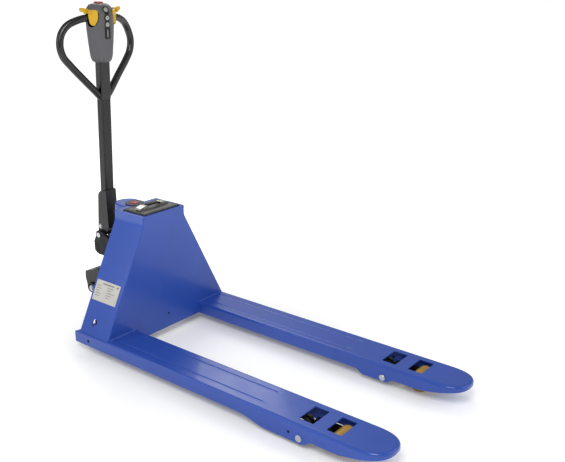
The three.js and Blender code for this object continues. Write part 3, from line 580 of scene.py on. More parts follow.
def build_sky():
    """A sky that lights the truck softly and is plain white behind it."""
    world = bpy.data.worlds.new("studio")
    world.use_nodes = True
    tree = world.node_tree
    sky = tree.nodes["Background"]
    sky.inputs["Color"].default_value = (1, 1, 1, 1)
    seen = tree.nodes.new("ShaderNodeLightPath").outputs["Is Camera Ray"]
    strength = between(tree, seen, SKY_LIGHT, 1.0, 0.0, 1.0)
    tree.links.new(strength, sky.inputs["Strength"])
    bpy.context.scene.world = world
    bpy.context.scene.view_settings.view_transform = "Standard"


# ---------- Forks ----------
FORK_REAR = -188
FORK_TIP = 1200
FORK_HALF = 75
NOSE_START = 1086
NOSE_POWER = 2.6
SHEET = 4
GROOVE_Y = 38
WINDOWS = ((876, 932), (981, 1037))
AXLE_BORE = 10.3
# place (x, z), radius and facets of each round hole in the outer wall
SIDE_HOLES = (((-111, 56), 6, 28), ((858, 42), 5, 24))
# The fork's lower edge: the outer wall's, the inner wall's, and the nose's that both share.
OUTER_EDGE = [(675, 35, 30), (745, 15, 34), (912, 15, 10), (942, 35, 6)]
INNER_EDGE = [(790, 35, 10), (812, 19, 10), (914, 19, 8), (938, 35, 6)]
NOSE_EDGE = [(1040, 35, 20), (1070, 40, 20), (1100, 46, 20), (1125, 51, 20), (1150, 56.5, 20), (1175, 61, 20)]


def fork_plan(inset, tip_inset, rear):
    """The fork from above: straight sides and a tip squarer than an ellipse."""
    tip = []
    for k in range(57):
        turn = math.pi * (k / 56 - 0.5)
        along = abs(math.cos(turn)) ** (2 / NOSE_POWER)
        across = math.copysign(abs(math.sin(turn)) ** (2 / NOSE_POWER), turn)
        tip.append((NOSE_START + (FORK_TIP - NOSE_START - tip_inset) * along, (FORK_HALF - inset) * across))
    return [(rear, inset - FORK_HALF), *tip, (rear, FORK_HALF - inset)]


def top_rim(height):
    """Chooses the edges at a height, apart from those at the fork's rear end."""
    return lambda a, b: min(a.z, b.z) > height - 0.1 and max(a.x, b.x) > FORK_REAR + 1


def fork_hollow():
    hollow = prism(fork_plan(SHEET, SHEET + 1, FORK_REAR - 2), "z", -1, FORK_TOP - SHEET)
    hollow = round_edges(hollow, top_rim(FORK_TOP - SHEET), 6, 3)
    floor = [(1108, 51.5), (1125, 55, 20), (1150, 60.5, 20), (1175, 65, 20), (1197, 68)]
    room = rounded([(-191, -2), (1108, -2), *floor, (1197, 80), (-191, 80)])
    return met(hollow, prism(room, "y", -74, 74))


def groove_cutter(y):
    """A pressed groove that fades out towards the tip."""
    across = [(-6.5, 1.2), (-5, 0.05), (-2.6, -1.5), (0, -2.2), (2.6, -1.5), (5, 0.05), (6.5, 1.2)]
    sections = []
    for x, depth in ((0, 1), (200, 1), (500, 1), (715, 1), (730, 0.75), (739, 0.4), (745, 0.02)):
        floor = [(x, y + a, FORK_TOP + (b * depth if b < 0 else b)) for a, b in across]
        roof = [(x, y + a, FORK_TOP + 6) for a, _ in reversed(across)]
        sections.append(floor + roof)
    return loft(sections)


def fork_body(side):
    body = prism(fork_plan(0, 0, FORK_REAR), "z", 8, FORK_TOP)
    body = round_edges(body, top_rim(FORK_TOP), 10, 7)
    tools = [fork_hollow()]
    for edge, sign in ((OUTER_EDGE, side), (INNER_EDGE, -side)):
        under = rounded([(-189, 0), (-189, 35), *edge, *NOSE_EDGE, (1201, 64), (1202, 0)])
        tools.append(prism(under, "y", *span(sign, 0, 100)))
    tools += [groove_cutter(y) for y in (GROOVE_Y, -GROOVE_Y)]
    for x0, x1 in WINDOWS:
        tools.append(prism(rectangle(x0, x1, -45, 45, 4, 4), "z", 60, 90))
    # Room for the rocker's lever, the pivot axle's bore, the side holes and the bevelled rear corner.
    tools.append(block(-150, -46, -14, 14, 60, 90))
    tools.append(bar("y", AXLE_BORE, -100, 100, PIVOT, 40))
    for place, radius, facets in SIDE_HOLES:
        tools.append(bar("y", radius, *span(side, 0, 100), place, facets))
    tools.append(prism([(-190, 77), (-164, 84), (-190, 84)], "y", -100, 100))
    return cut(body, *tools)


def build_fork(label, side):
    y = side * FORK_Y
    nodes = [f"fork_channel_{label}", f"fork_nose_{label}"]
    piece(f"fork_{label}", shifted(fork_body(side), y=y), "chassis", BLUE, nodes, edge=0.7)
    axle = both_ways([(10, 75.3), (12, 75.3), (12, 76.6), (10.5, 78), (0, 78)])
    axle = turned(axle, "y", (PIVOT[0], y, PIVOT[1]), 40)
    piece(f"pivot_axle_{label}", axle, "chassis", STEEL, f"roller_pivot_axle_{label}", edge=0)
    build_roller_frame(label, y)
    build_push_rod(label, y)
    build_load_roller(label, y)
    # A painted bead joins the front plate to the fork.
    weld = [(0, 0), (4, 0), (2.2, 0.7), (0.7, 2.2), (0, 4)]
    bead = shifted(prism(weld, "y", *span(side, 172, 309)), z=FORK_TOP)
    piece(f"foot_weld_{label}", bead, "chassis", BLUE, edge=0)


def build_roller_frame(label, y):
    cheek = link(*PIVOT, 19, *ROLLER, 17)
    crank = link(*PIVOT, 15, ROD_FRONT, ROD_Z, 10.5)
    parts = [bar("y", 13.5, -44, 44, PIVOT), bar("y", 6, -13, 13, (ROD_FRONT, ROD_Z))]
    for side in (-1, 1):
        parts.append(prism(cheek, "y", *span(side, 38, 44)))
        parts.append(prism(crank, "y", *span(side, 7.6, 13.6)))
    # A dark plate ties the two cheeks together behind the roller; it stands in as painted shade, hiding the
    # bright floor seen through the fork's window.
    parts.append(block(948, 956, -39, 39, 20, 50))
    arm = joined(parts[0], *parts[1:])
    arm = cut(arm, bar("y", AXLE_BORE, -60, 60, PIVOT), bar("y", AXLE_BORE, -60, 60, ROLLER))
    body = f"{label}_roller_frame"
    piece(f"roller_arm_{label}", shifted(arm, y=y), body, BLACK, f"roller_frame_{label}", edge=0.7)
    axle = turned(both_ways([(10, 46), (9, 47), (0, 47)]), "y", (ROLLER[0], y, ROLLER[1]), 40)
    piece(f"roller_axle_{label}", axle, body, STEEL, f"load_roller_axle_{label}", edge=0)


def build_push_rod(label, y):
    def oblong(x, reach, below, above, y0, y1):
        return prism(rectangle(x - reach, x + reach, ROD_Z - below, ROD_Z + above, 6), "y", y0, y1)

    rod = joined(
        bar("x", 7, ROD_REAR + 18, ROD_FRONT - 11, (0, ROD_Z), 32),
        block(ROD_REAR + 17, ROD_REAR + 32, -13, 13, ROD_Z - 10, ROD_Z + 10),
        oblong(ROD_REAR + 8, 22, 13, 13, 7, 13),
        oblong(ROD_REAR + 8, 22, 13, 13, -13, -7),
        oblong(ROD_FRONT, 14, 13, 16, -5, 5),
    )
    rod = cut(rod, oblong(ROD_FRONT, 7.4, 7.2, 12.2, -20, 20), oblong(ROD_REAR, 7.2, 9.6, 7.4, -20, 20))
    piece(f"rod_{label}", shifted(rod, y=y), f"{label}_push_rod", DARK_STEEL, f"push_rod_{label}", edge=0.6)


def build_load_roller(label, y):
    centre = (ROLLER[0], y, ROLLER[1])
    body = f"{label}_load_roller"
    tyre = both_ways([(37, 29), (36.6, 32), (35.6, 34), (33.5, 35), (26, 35)])
    tyre = turned(tyre, "y", centre, 72)
    piece(f"roller_tyre_{label}", tyre, body, AMBER, f"load_roller_tyre_{label}", edge=0)
    core = both_ways([(25.7, 32), (16, 34), (16, 36.3), (15.5, 36.8), (10.4, 36.8)])
    core = turned(core, "y", centre, 48)
    piece(f"roller_core_{label}", core, body, STEEL, f"load_roller_core_{label}", edge=0)


# ---------- Housing ----------
FOOT = FORK_TOP + 0.3
FOOT_HALF = 316
KNEE_HALF = 108
KNEE_Z = 484
HOUSING_REAR = -161
LEDGE_BOTTOM = 492
LEDGE_X = -210
LEDGE_HALF = 50
STOP_X = -168
# The small open hole beside the emergency stop, as (x, y), and the one in the front, which a disc of painted
# shade fills, as (y, z).
LEDGE_HOLE = (STOP_X, -43)
FRONT_HOLE = (0, 92)


def gable(foot_half, foot, knee_half, knee, radius, top):
    """The housing from the front: two slopes, a knee in each, and a flat top."""
    half = [(foot_half, foot), (knee_half, knee, radius), (knee_half, top)]
    return mirrored(half, -1) + half[::-1]


def stop_ledge():
    """The round ledge behind the housing's top, which holds the emergency stop."""

    def upper_rim(a, b):
        return min(a.z, b.z) > HOUSING_TOP - 0.1 and min(a.x, b.x) < -151

    def plan(front, half):
        return [(front, half), *arc(half, math.pi / 2, math.pi * 1.5, 36, (LEDGE_X, 0)), (front, -half)]

    ledge = prism(plan(-150, LEDGE_HALF), "z", LEDGE_BOTTOM, HOUSING_TOP)
    ledge = round_edges(ledge, upper_rim, 5, 5)
    room = plan(HOUSING_REAR - 1, LEDGE_HALF - SHEET)
    return cut(ledge, prism(room, "z", LEDGE_BOTTOM - 2, HOUSING_TOP - SHEET))


def housing_shell():
    """Front plate, its strip between the forks, side panels, top and ledge as one welded body."""

    def front_fold(a, b):
        """The front edges, apart from those along the foot and the top."""
        return min(a.x, b.x) > -0.1 and max(a.z, b.z) > FOOT + 1 and min(a.z, b.z) < HOUSING_TOP - 0.1

    skin = rounded(gable(FOOT_HALF, FOOT, KNEE_HALF, KNEE_Z, 14, HOUSING_TOP), 8)
    outer = round_edges(prism(skin, "x", HOUSING_REAR, 0), front_fold, 4, 6)
    lining = gable(311.2, FOOT - 1, KNEE_HALF - SHEET, KNEE_Z - 2, 10, HOUSING_TOP - SHEET)
    shell = cut(outer, prism(rounded(lining, 5), "x", HOUSING_REAR - 2, -5))
    shell = joined(shell, stop_ledge(), block(-5, 0, -169.7, 169.7, 35, FOOT + 4))
    return cut(
        shell,
        block(HOUSING_REAR - 4, HOUSING_REAR + 1.1, -45.9, 45.9, LEDGE_BOTTOM - 2, HOUSING_TOP - SHEET),
        prism(rectangle(-124, -13, -88, 88, 8), "z", 510, 525),
        bar("z", 22.3, 510, 525, (STOP_X, 0), 56),
        bar("z", 5, 510, 525, LEDGE_HOLE, 32),
        bar("y", 13, -400, 400, SHAFT, 48),
        bar("x", 5, -10, 5, FRONT_HOLE, 32),
    )


def build_housing():
    nodes = ["front_plate", "side_panel_right", "side_panel_left", "top_cap"]
    piece("housing", housing_shell(), "chassis", BLUE, nodes, edge=0.8)
    for label, side in SIDES.items():
        build_housing_welds(label, side)
        build_shaft_bearing(label, side)
    for label, side in SIDES.items():
        build_side_shade_discs(label, side)
    # A dark disc of painted shade sits inside the hole in the front plate.
    piece("front_shade_disc", bar("x", 4.9, -4.2, -1.5, FRONT_HOLE, 28), "chassis", SHADE, edge=0.3)
    build_controller()
    build_nameplate()


def weld_bead(radius, place, stretch):
    """A ball of weld metal, stretched along its seam."""
    ball = turned(arc(radius, -math.pi / 2, math.pi / 2, 8), "z", count=16)
    ball.transform(Matrix.Translation(place) @ Matrix.Diagonal((*stretch, 1)))
    return ball


def build_housing_welds(label, side):
    # Ground weld spots run down the corner from the top edge, and beads join the strip to the fork.
    spots = []
    for k in range(7):
        wobble = 0.6 * math.sin(2.3 * k + side)
        radius = 3.1 - 0.12 * k + 0.3 * math.sin(1.7 * k)
        place = (-2.3 + wobble * 0.3, side * (105.9 + wobble * 0.4), 515 - 6.2 * k)
        spots.append(weld_bead(radius, place, (1, 1, 1.25)))
    piece(f"corner_weld_{label}", merged(*spots), "chassis", BLUE, edge=0, angle=60)
    seam = [weld_bead(2.6, (0.2, side * 168.8, 40 + 4.7 * k), (0.9, 0.6, 1.35)) for k in range(9)]
    piece(f"strip_weld_{label}", merged(*seam), "chassis", BLUE, edge=0, angle=60)


def build_shaft_bearing(label, side):
    refined(f"shaft_carrier_{label}", "chassis", BLUE, 0.8)
    bush = both_ways([(14, 7.4), (13.4, 8), (11.3, 8)])
    bush = turned(bush, "y", (SHAFT[0], side * 185, SHAFT[1]), 48)
    piece(f"bush_{label}", bush, "chassis", CAST, f"shaft_bush_{label}", edge=0)


def build_side_shade_discs(label, side):
    """Dark discs of painted shade sit inside the two small holes of the fork's outer wall."""
    wall = span(side, FORK_Y + 71.5, FORK_Y + 73.5)
    shade_discs = [bar("y", radius - 0.1, *wall, place, facets) for place, radius, facets in SIDE_HOLES]
    piece(f"side_shade_discs_{label}", merged(*shade_discs), "chassis", SHADE, edge=0.3)


def build_controller():
    """The drive controller: a finned heat sink with a cover."""
    fins = [block(-88, -65, y - 1.6, y + 1.6, 167, 283) for y in range(-76, 77, 8)]
    body = joined(block(-66, -14, -80, 80, 165, 285), *fins)
    piece("controller", body, "chassis", ALUMINIUM, "motor_controller", edge=0.8)


def build_nameplate():
    slope = math.atan2(FOOT_HALF - KNEE_HALF, KNEE_Z - FOOT)
    centre = 236
    y = FOOT_HALF - (centre - FOOT) * math.tan(slope)
    where = TRUCK @ Matrix.Translation((-85, -y, centre)) @ Matrix.Rotation(-slope, 4, "X")
    blank = prism(rectangle(-67, 67, -40, 40, 2.5, 4), "y", -1.2, -0.3)
    piece("plate_blank", blank, "chassis", SILVER, "nameplate", edge=0.2, where=where)

    # Plain bars stand where a rating plate has its print, and a rivet in each corner holds it.
    def mark(x0, x1, z0, z1):
        return block(x0, x1, -1.32, -1.15, z0, z1)

    marks = [mark(-30, 34, 27, 31)]
    for row, (left, right) in enumerate(((20, 34), (26, 22), (18, 40), (30, 28), (24, 20))):
        z = 17 - row * 9.5
        marks.append(mark(-58, -58 + left, z, z + 2.2))
        marks.append(mark(2, 2 + right, z, z + 2.2))
    marks.append(mark(47, 57, 26, 32))
    piece("plate_lines", merged(*marks), "chassis", INK, edge=0, where=where)
    head = [(0, -0.4), (2.1, -0.4), (1.9, -1.5), (1.1, -2.0), (0, -2.2)]
    rivets = [turned(head, "y", (x, -0.6, z), 20) for x in (-62.5, 62.5) for z in (-35.5, 35.5)]
    piece("plate_rivets", merged(*rivets), "chassis", STEEL, edge=0, where=where)


def build_battery():
    def ring(inset):
        return rectangle(-131 + inset, -6 - inset, inset - 94, 94 - inset, 5, 5)

    refined("battery_case", "battery_pack", PLASTIC, 1.5, 3)
    gasket = cut(prism(ring(0), "z", 521.3, 524.6), prism(ring(7), "z", 520, 526))
    piece("gasket", gasket, "chassis", RUBBER, "lid_gasket", edge=0.9, steps=3)
    groove = cut(prism(ring(11), "z", 525.2, 527), prism(ring(12.6), "z", 525, 528))
    lid = cut(prism(ring(7.3), "z", 521.3, 526), groove)
    piece("lid", lid, "battery_pack", LID, "battery_lid", edge=0.8, steps=3)
    build_strap(deck=526.3)


def build_strap(deck):
    """The lid's lifting strap, with a bright cap and a screw at each end."""
    cap = [(34, deck), (74, deck, 3), (74, deck + 9, 6), (50, deck + 15, 8), (34, deck + 15, 3)]
    for label, side in SIDES.items():
        shell = prism(mirrored(rounded(cap, 6), side), "x", -79, -53)
        shell = cut(shell, block(-75.5, -56.5, -56, 56, deck + 6, deck + 13))
        name = f"handle_cap_{label}"
        piece(name, shell, "battery_pack", CHROME, f"strap_cap_{label}", edge=2.2, steps=4, angle=40)
        place = (-66, side * 62)
        bolt_head(5.5, 1.6, "z", place, deck + 11.4, 1, "battery_pack", f"handle_screw_{label}")
    lower = [(54, deck + 7), (33, deck + 7, 5), (27, deck + 10, 5)]
    upper = [(28, deck + 18, 6), (33, deck + 12, 5), (54, deck + 12)]
    outline = mirrored(lower, -1) + lower[::-1] + upper[::-1] + mirrored(upper, -1)
    strap = prism(rounded(outline), "x", -74.5, -57.5)
    piece("handle_strap", strap, "battery_pack", RUBBER, "strap_handle", edge=2.4, steps=4)


def build_stop_switch():
    centre = (STOP_X, 0, HOUSING_TOP)
    cup = [(8.6, -10), (22, -10), (22, 0.3)]
    flange = [(36.5, 0.3), (36.5, 2.2), (35.8, 3.5), (34.2, 4.2)]
    well = [(21.4, 4.2), (20.4, 3.7), (20, 2.8), (20, -8), (8.6, -8)]
    piece("stop_base", turned(cup + flange + well, "z", centre), "chassis", NAVY, "estop_base", edge=0)
    stem = [(0, -12), (8, -12), (8, -1), (19, -1)]
    cap = [(19, 3.2), (18.6, 4.6), (17.6, 5.6), (15.6, 6.2), (11, 6.6), (0, 6.6)]
    grooves = []
    for k in range(3):
        start = math.radians(120 * k + 20)
        end = start + 0.9
        crescent = arc(11, start, end, 8, centre) + arc(13, end, start, 8, centre)
        grooves.append(prism(crescent, "z", HOUSING_TOP + 5.4, HOUSING_TOP + 8))
    button = cut(turned(stem + cap, "z", centre), *grooves)
    piece("stop_button", button, "stop_plunger", RED, "estop_button", edge=0, angle=40)


# ---------- Rocker and lift carriage ----------
ARM_BOLT = (-316, 160)
ARM_REACH = math.hypot(ARM_BOLT[0] - SHAFT[0], ARM_BOLT[1] - SHAFT[1])
ARM_ANGLE = math.asin((ARM_BOLT[1] - SHAFT[1]) / ARM_REACH)
PIN_BORE = 8.3


def along_arm(distance, up=0):
    cos, sin = math.cos(ARM_ANGLE), math.sin(ARM_ANGLE)
    return (SHAFT[0] - distance * cos + up * sin, SHAFT[1] + distance * sin + up * cos)


def build_rocker():
    shaft = both_ways([(11, 282), (10, 283), (0, 283)])
    parts = [turned(shaft, "y", (SHAFT[0], 0, SHAFT[1]), 40)]
    for side in SIDES.values():
        y = side * FORK_Y
        parts.append(prism(link(*SHAFT, 19, ROD_REAR, ROD_Z, 11), "y", y - 5.5, y + 5.5))
        parts.append(bar("y", 6, y - 14, y + 14, (ROD_REAR, ROD_Z), 32))
        arm = prism(link(*SHAFT, 19, *along_arm(ARM_REACH + 7), 21), "y", *span(side, 119, 127))
        slot = link(*along_arm(ARM_REACH - 3, 0.2), 9.5, *along_arm(ARM_REACH + 11, 2.8), 11.2)
        parts.append(cut(arm, prism(slot, "y", -140, 140)))
    piece("rocker_body", joined(parts[0], *parts[1:]), "rocker", BLACK, "rocker_shaft", edge=0.8)


def build_carriage():
    x, z = ARM_BOLT
    rear_edge = [(-361, 224, 3), (-364, 196, 20), (-346, z - 22, 14)]
    front_edge = [(x + 4, z - 22, 14), (-290, 176, 20), (-276, 212, 10), (-150, 226, 10)]
    cheek = rounded([*rear_edge, *front_edge, (-150, 244), (-300, 244, 10)])
    cheeks = [prism(cheek, "y", *span(side, 112, 118)) for side in (1, -1)]
    yoke = joined(block(-300, -150, -113, 113, 236, 244), *cheeks)
    yoke = cut(yoke, bar("z", 47, 200, 260, (STEER_X, 0), 64), bar("y", PIN_BORE, -150, 150, ARM_BOLT, 36))
    piece("yoke", yoke, "lift_carriage", BLACK, "lift_yoke", edge=0.9, steps=3)
    outside = [(-300.3, 244), (-361, 224, 5), (-364, 196, 22), (-348, 150)]
    inside = [(-345, 150.8), (-360, 196, 20), (-357, 221, 4), (-300.3, 240)]
    guard = prism(rounded(outside + inside, 8), "y", -111.7, 111.7)
    piece("guard", guard, "lift_carriage", PLASTIC, "wheel_guard", edge=0.8, steps=3)
    for label, side in SIDES.items():
        build_carriage_bolt(label, side)
    ring = [(52, 244.3), (66, 244.3), (66, 246.6), (65.6, 247), (52.4, 247), (52, 246.6)]
    ring = turned(ring, "z", (STEER_X, 0, 0))
    piece("bearing_ring", ring, "lift_carriage", STEEL, "steering_bearing", edge=0)


def build_carriage_bolt(label, side):
    shank = [(0, 106), (8, 106), (8, 126.8)]
    washer = [(12.6, 126.8), (13, 127.3), (13, 129.2), (12.6, 129.6)]
    end = [(8.5, 129.6), (7.6, 132.4), (0, 133)]
    pin = [(radius, side * along) for radius, along in shank + washer + end]
    nut = prism(circle(12, ARM_BOLT, 6), "y", *span(side, 106, 111.7))
    bolt = merged(turned(pin, "y", (ARM_BOLT[0], 0, ARM_BOLT[1]), 40), nut)
    piece(f"carriage_bolt_{label}", bolt, "lift_carriage", STEEL, f"arm_bolt_{label}", edge=0)


# ---------- Turret ----------
EAR = (28, 40)


def build_turret():
    build_pump_head()
    refined("lift_cylinder", "turret", BLACK, 0.8)
    refined("oil_tank", "turret", PLASTIC, 2.0, 3)
    build_pump_motor()
    build_wheel_fork()
    build_drive_wheel()
    pin = both_ways([(8, 40.3), (11, 40.3), (11, 43), (10, 44), (0, 44)])
    pin = turned(pin, "y", TILLER_PIVOT, 40)
    piece("tiller_pivot_pin", pin, "turret", STEEL, "tiller_pin", edge=0)
    rod = [(0, 300), (17, 300), (18, 301), (18, 505), (24, 505), (24, 516.7), (0, 516.7)]
    piece("ram", turned(rod, "z", (STEER_X, 0, 0), 56), "chassis", CHROME, "ram_rod", edge=0)


def build_pump_head():
    core = joined(bar("z", 56, 247.3, 262, (STEER_X, 0), 64), bar("z", 48, 262, 372, (STEER_X, 0), 64))
    ear_top = [(STEER_X, 372, 4), (-290, 350, 16), (-336, 377, 12), (-372, 377, 16)]
    ear_rear = [(-374, 352, 6), (-388, 332, 12), (-388, 286, 12), (-368, 274, 8)]
    ear = rounded([*ear_top, *ear_rear, (-300, 274, 10), (STEER_X, 264)])
    web_top = [(STEER_X, 355), (-290, 335, 8), (-310, 300, 8), (-380, 296)]
    web = rounded([*web_top, (-380, 280), (-300, 276), (STEER_X, 270)])
    ears = [prism(ear, "y", *span(side, *EAR)) for side in (1, -1)]
    head = joined(core, *ears, prism(web, "y", -29, 29))
    # Cast ribs band the rear of the ears.
    ribs = [prism(rectangle(-389, -372, z, z + 4, 1), "y", -41, 41) for z in (288, 300, 312, 324)]
    head = joined(head, *ribs)
    pin = (TILLER_PIVOT[0], TILLER_PIVOT[2])
    head = cut(head, bar("z", 21, 276, 400, (STEER_X, 0), 48), bar("y", PIN_BORE, -60, 60, pin, 36))
    piece("pump_casting", head, "turret", CAST, "pump_head", edge=1.4, steps=3)


def build_pump_motor():
    case = [(0, 57), (22, 57), (23, 58.5), (23, 70), (22.2, 70.6), (22.2, 72), (23, 72.6), (23, 101.5)]
    cover = [(21.5, 104), (19, 104), (19, 107.5), (17.5, 109), (0, 109)]
    motor = turned(case + cover, "y", (STEER_X, 0, 275), 56)
    piece("pump_motor_body", motor, "turret", ALUMINIUM, "pump_motor", edge=0)


def build_wheel_fork():
    leg = [(-241, 212), (-241, 190, 10), (-233, 80, 18), (-197, 80, 18), (-189, 190, 10), (-189, 212)]
    legs = [prism(rounded(leg), "y", *span(side, 41, 49)) for side in (1, -1)]
    fork = joined(block(-257, -173, -49, 49, 199, 212), *legs, bar("z", 46, 205, 247, (STEER_X, 0), 56))
    fork = cut(fork, bar("y", 12.3, -60, 60, (STEER_X, WHEEL_Z), 40))
    piece("wheel_yoke", fork, "turret", BLACK, "wheel_fork", edge=1.0, steps=3)
    axle = turned(both_ways([(12, 52), (11, 53), (0, 53)]), "y", (STEER_X, 0, WHEEL_Z), 40)
    piece("drive_axle", axle, "turret", STEEL, "wheel_axle", edge=0)


def build_drive_wheel():
    centre = (STEER_X, 0, WHEEL_Z)
    tyre = both_ways([(95, 27), (94.3, 31.5), (92.6, 34), (90, 35), (79, 35)])
    piece("wheel_tread", turned(tyre, "y", centre, 96), "drive_wheel", TYRE, "drive_tyre", edge=0)
    rim = [(78.7, 34), (66, 34), (66, 31), (64, 30)]
    boss = [(26, 30), (26, 37), (25, 38), (12.3, 38)]
    hub = turned(both_ways(rim + boss), "y", centre, 72)
    for k in range(8):
        angle = math.pi * (k + 0.5) / 4
        at = (STEER_X + 46 * math.cos(angle), WHEEL_Z + 46 * math.sin(angle))
        hub = merged(hub, *[prism(circle(4.6, at, 6), "y", *span(side, 30, 33.5)) for side in (-1, 1)])
    piece("wheel_hub", hub, "drive_wheel", ALUMINIUM, "drive_hub_motor", edge=0.5)


# ---------- Tiller: x forward, y sideways, w up along the tube ----------
BRACKET_SIDE = (22.6, 26.6)


def build_bracket():
    rear_edge = [(-17, -4, 14), (-18, 24, 10), (-11.5, 174, 8), (4, 190, 14)]
    front_edge = [(37, 197, 8), (48, 34, 10), (17, -14, 14), (-8, -17, 12)]
    plate = rounded(rear_edge + front_edge)
    front = rounded([(33, 197), (37, 197, 3), (48, 34, 4), (44, 34)])
    plates = [prism(plate, "y", *span(side, *BRACKET_SIDE)) for side in (1, -1)]
    shape = joined(*plates, prism(front, "y", -23, 23))
    shape = cut(shape, bar("y", PIN_BORE, -60, 60, count=36))
    piece("bracket", shape, "tiller", BLACK, "tiller_bracket", edge=1.1, steps=3, where=TILLER)
    for label, side in SIDES.items():
        seat = side * BRACKET_SIDE[1]
        bolt_head(13, 4, "y", (-2, 35), seat, side, "tiller", f"bracket_bolt_{label}", 1.2, TILLER)


def build_tube():
    outer = rectangle(-1.5, 32.5, -22, 22, 6)
    inner = rectangle(1.5, 29.5, -19, 19, 4)
    tube = cut(prism(outer, "z", 58, 726), prism(inner, "z", 50, 730))
    piece("tube", tube, "tiller", BLACK, "tiller_tube", edge=0.5, where=TILLER)
    # A dark sleeve covers the tube between the head and the foot of the loop, which makes the tube darker
    # there.
    sleeve = prism(rectangle(-2.6, 33.6, -23.2, 23.2, 6), "z", 566, 712)
    piece("tube_sleeve", sleeve, "tiller", GRIP, edge=0.6, where=TILLER)


# The loop's left half from its top to its foot, as y, w and x from the tube's middle.
LOOP_TOP = [(0, 874, 0), (36, 874, 0), (70, 874, -6), (104, 865, -16), (136, 848, -27), (160, 818, -32.5)]
LOOP_FOOT = [(171, 776, -30), (162, 736, -26), (134, 700, -19.5), (87, 649, -12), (34, 592, -1), (14, 571, 0)]


def build_loop():
    left = [(TUBE_X + x, y, w) for y, w, x in LOOP_TOP + LOOP_FOOT]
    right = [(x, -y, w) for x, y, w in reversed(left[1:])]
    loop = sweep(smooth_path([*right, *left], 12), 14, 28)
    loop = cut(loop, *wing_rooms())
    piece("loop", loop, "tiller", GRIP, "steering_loop", edge=0, angle=60, where=TILLER)


# ---------- Control head ----------
HEAD_FACE = TUBE_X + 37
HEAD_ROWS = [
    # w, half width, front, back
    (707.5, 29, 21.5, -20),
    (708.3, 33, 25, -22.5),
    (711, 38, 29.5, -25),
    (716, 43, 33, -26.5),
    (724, 47.5, 35.5, -27),
    (736, 50.6, 36.8, -27.6),
    (762, 54, 37, -28.6),
    (790, 57.5, 37, -29.5),
    (820, 60.6, 37, -30.3),
    (845, 62.8, 37, -31),
    (866, 63.8, 37, -31),
    (882, 63.6, 36.8, -31),
    (892, 62.6, 35.2, -30.8),
    (900, 60.6, 31.5, -30.2),
    (907, 57.6, 27.2, -29.4),
    (914, 52.8, 22.4, -28),
    (919, 47.8, 18, -26.5),
    (922.5, 42.4, 12.5, -24.5),
    (925, 34.4, 5.5, -21.5),
    (926.8, 20, -3, -18),
]
KEYS = (
    # node, body, x and w of the seat, degrees that it leans back
    ("lift_button", "lift_key", TUBE_X + 29.2, 904, 33),
    ("lower_button", "lower_key", HEAD_FACE, 875.5, 0),
    ("horn_button", "horn_key", HEAD_FACE, 851, 0),
)
THROTTLE_AXIS = (15, 899)
PAD = [(-16, 4, 8), (16, 4, 10), (18, -26, 14), (4, -52, 12), (-12, -46, 14), (-17, -16, 14)]
PAD_MIDDLE = -24
PAD_SIDE = 49
PAD_TURN = math.radians(41)
SWING_STEPS = range(-15, 16, 5)


def head_section(w, half, front, back):
    depth = front - back
    right = [
        (front, -0.42 * half, 7),
        (front - 0.5 * depth, -half, 12),
        (back + 0.24 * depth, -0.985 * half, 15),
        (back, -0.6 * half, 15),
    ]
    left = [(x, -y, radius) for x, y, radius in reversed(right)]
    return [(TUBE_X + x, y, w) for x, y in rounded(right + left, 7)]


def in_between(rows):
    """The rows with three smooth rows between each two."""
    full = smooth_path([row[:3] for row in rows], 4)
    backs = smooth_path([(row[0], row[3], 0) for row in rows], 4)
    return [(a.x, a.y, a.z, b.y) for a, b in zip(full, backs)]


def pad_outline(across, along, segments):
    """The thumb pad's outline, grown about its middle."""
    grown = [(a * across, (b - PAD_MIDDLE) * along + PAD_MIDDLE, radius) for a, b, radius in PAD]
    return rounded(grown, segments)


def pad_place(side):
    middle = Matrix.Translation((TUBE_X + 17, side * PAD_SIDE, THROTTLE_AXIS[1]))
    return middle @ Matrix.Rotation(side * PAD_TURN, 4, "Z")


def pad_room(side):
    """The pad's own room, with play all round."""
    bm = prism(pad_outline(1.15, 1.13, 7), "x", -3.5, 16)
    bm.transform(pad_place(side))
    return bm


def swung(bm, degrees):
    x, w = THROTTLE_AXIS
    turn = Matrix.Rotation(math.radians(degrees), 4, "Y")
    bm.transform(Matrix.Translation((x, 0, w)) @ turn @ Matrix.Translation((-x, 0, -w)))
    return bm


def wing_rooms():
    """What the wings sweep through, which the head and the loop leave free."""
    x, w = THROTTLE_AXIS
    rooms = []
    for side in SIDES.values():
        for degrees in SWING_STEPS:
            bridge = block(x - 1, x + 25.5, *span(side, 60.5, 69.5), w - 7.5, w + 7.5)
            rooms.append(swung(pad_room(side), degrees))
            rooms.append(swung(bridge, degrees))
    return rooms


def on_face(x, w, lean):
    """From a key's own frame, where x points out of the head, to the tiller's."""
    return Matrix.Translation((x, 0, w)) @ Matrix.Rotation(-math.radians(lean), 4, "Y")


def key_bores():
    bores = []
    for _, _, x, w, lean in KEYS:
        bore = bar("x", 9.3, -7, 8, count=36)
        bore.transform(on_face(x, w, lean))
        bores.append(bore)
    return bores


def build_head():
    shell = loft([head_section(*row) for row in in_between(HEAD_ROWS)])
    shell = cut(shell, prism(rectangle(-3.2, 34.2, -24, 24, 5), "z", 690, 716))
    seats = [bar("y", 11.5, *span(side, 60, 80), THROTTLE_AXIS, 36) for side in SIDES.values()]
    crown = prism(rectangle(TUBE_X - 24.5, TUBE_X + 4.5, -14.5, 14.5, 4), "z", 915, 940)
    # The cut faces of the wing rooms, seats, key bores and crown take painted shade.
    shell = cut(shell, *wing_rooms(), *seats, *key_bores(), crown, shade=1)
    piece("head", shell, "tiller", [GREY, SHADE], "head_shell", edge=0.5, angle=38, where=TILLER)
    build_strip()
    for node, body, x, w, lean in KEYS:
        build_key(node, body, on_face(x, w, lean))
    build_belly_key()


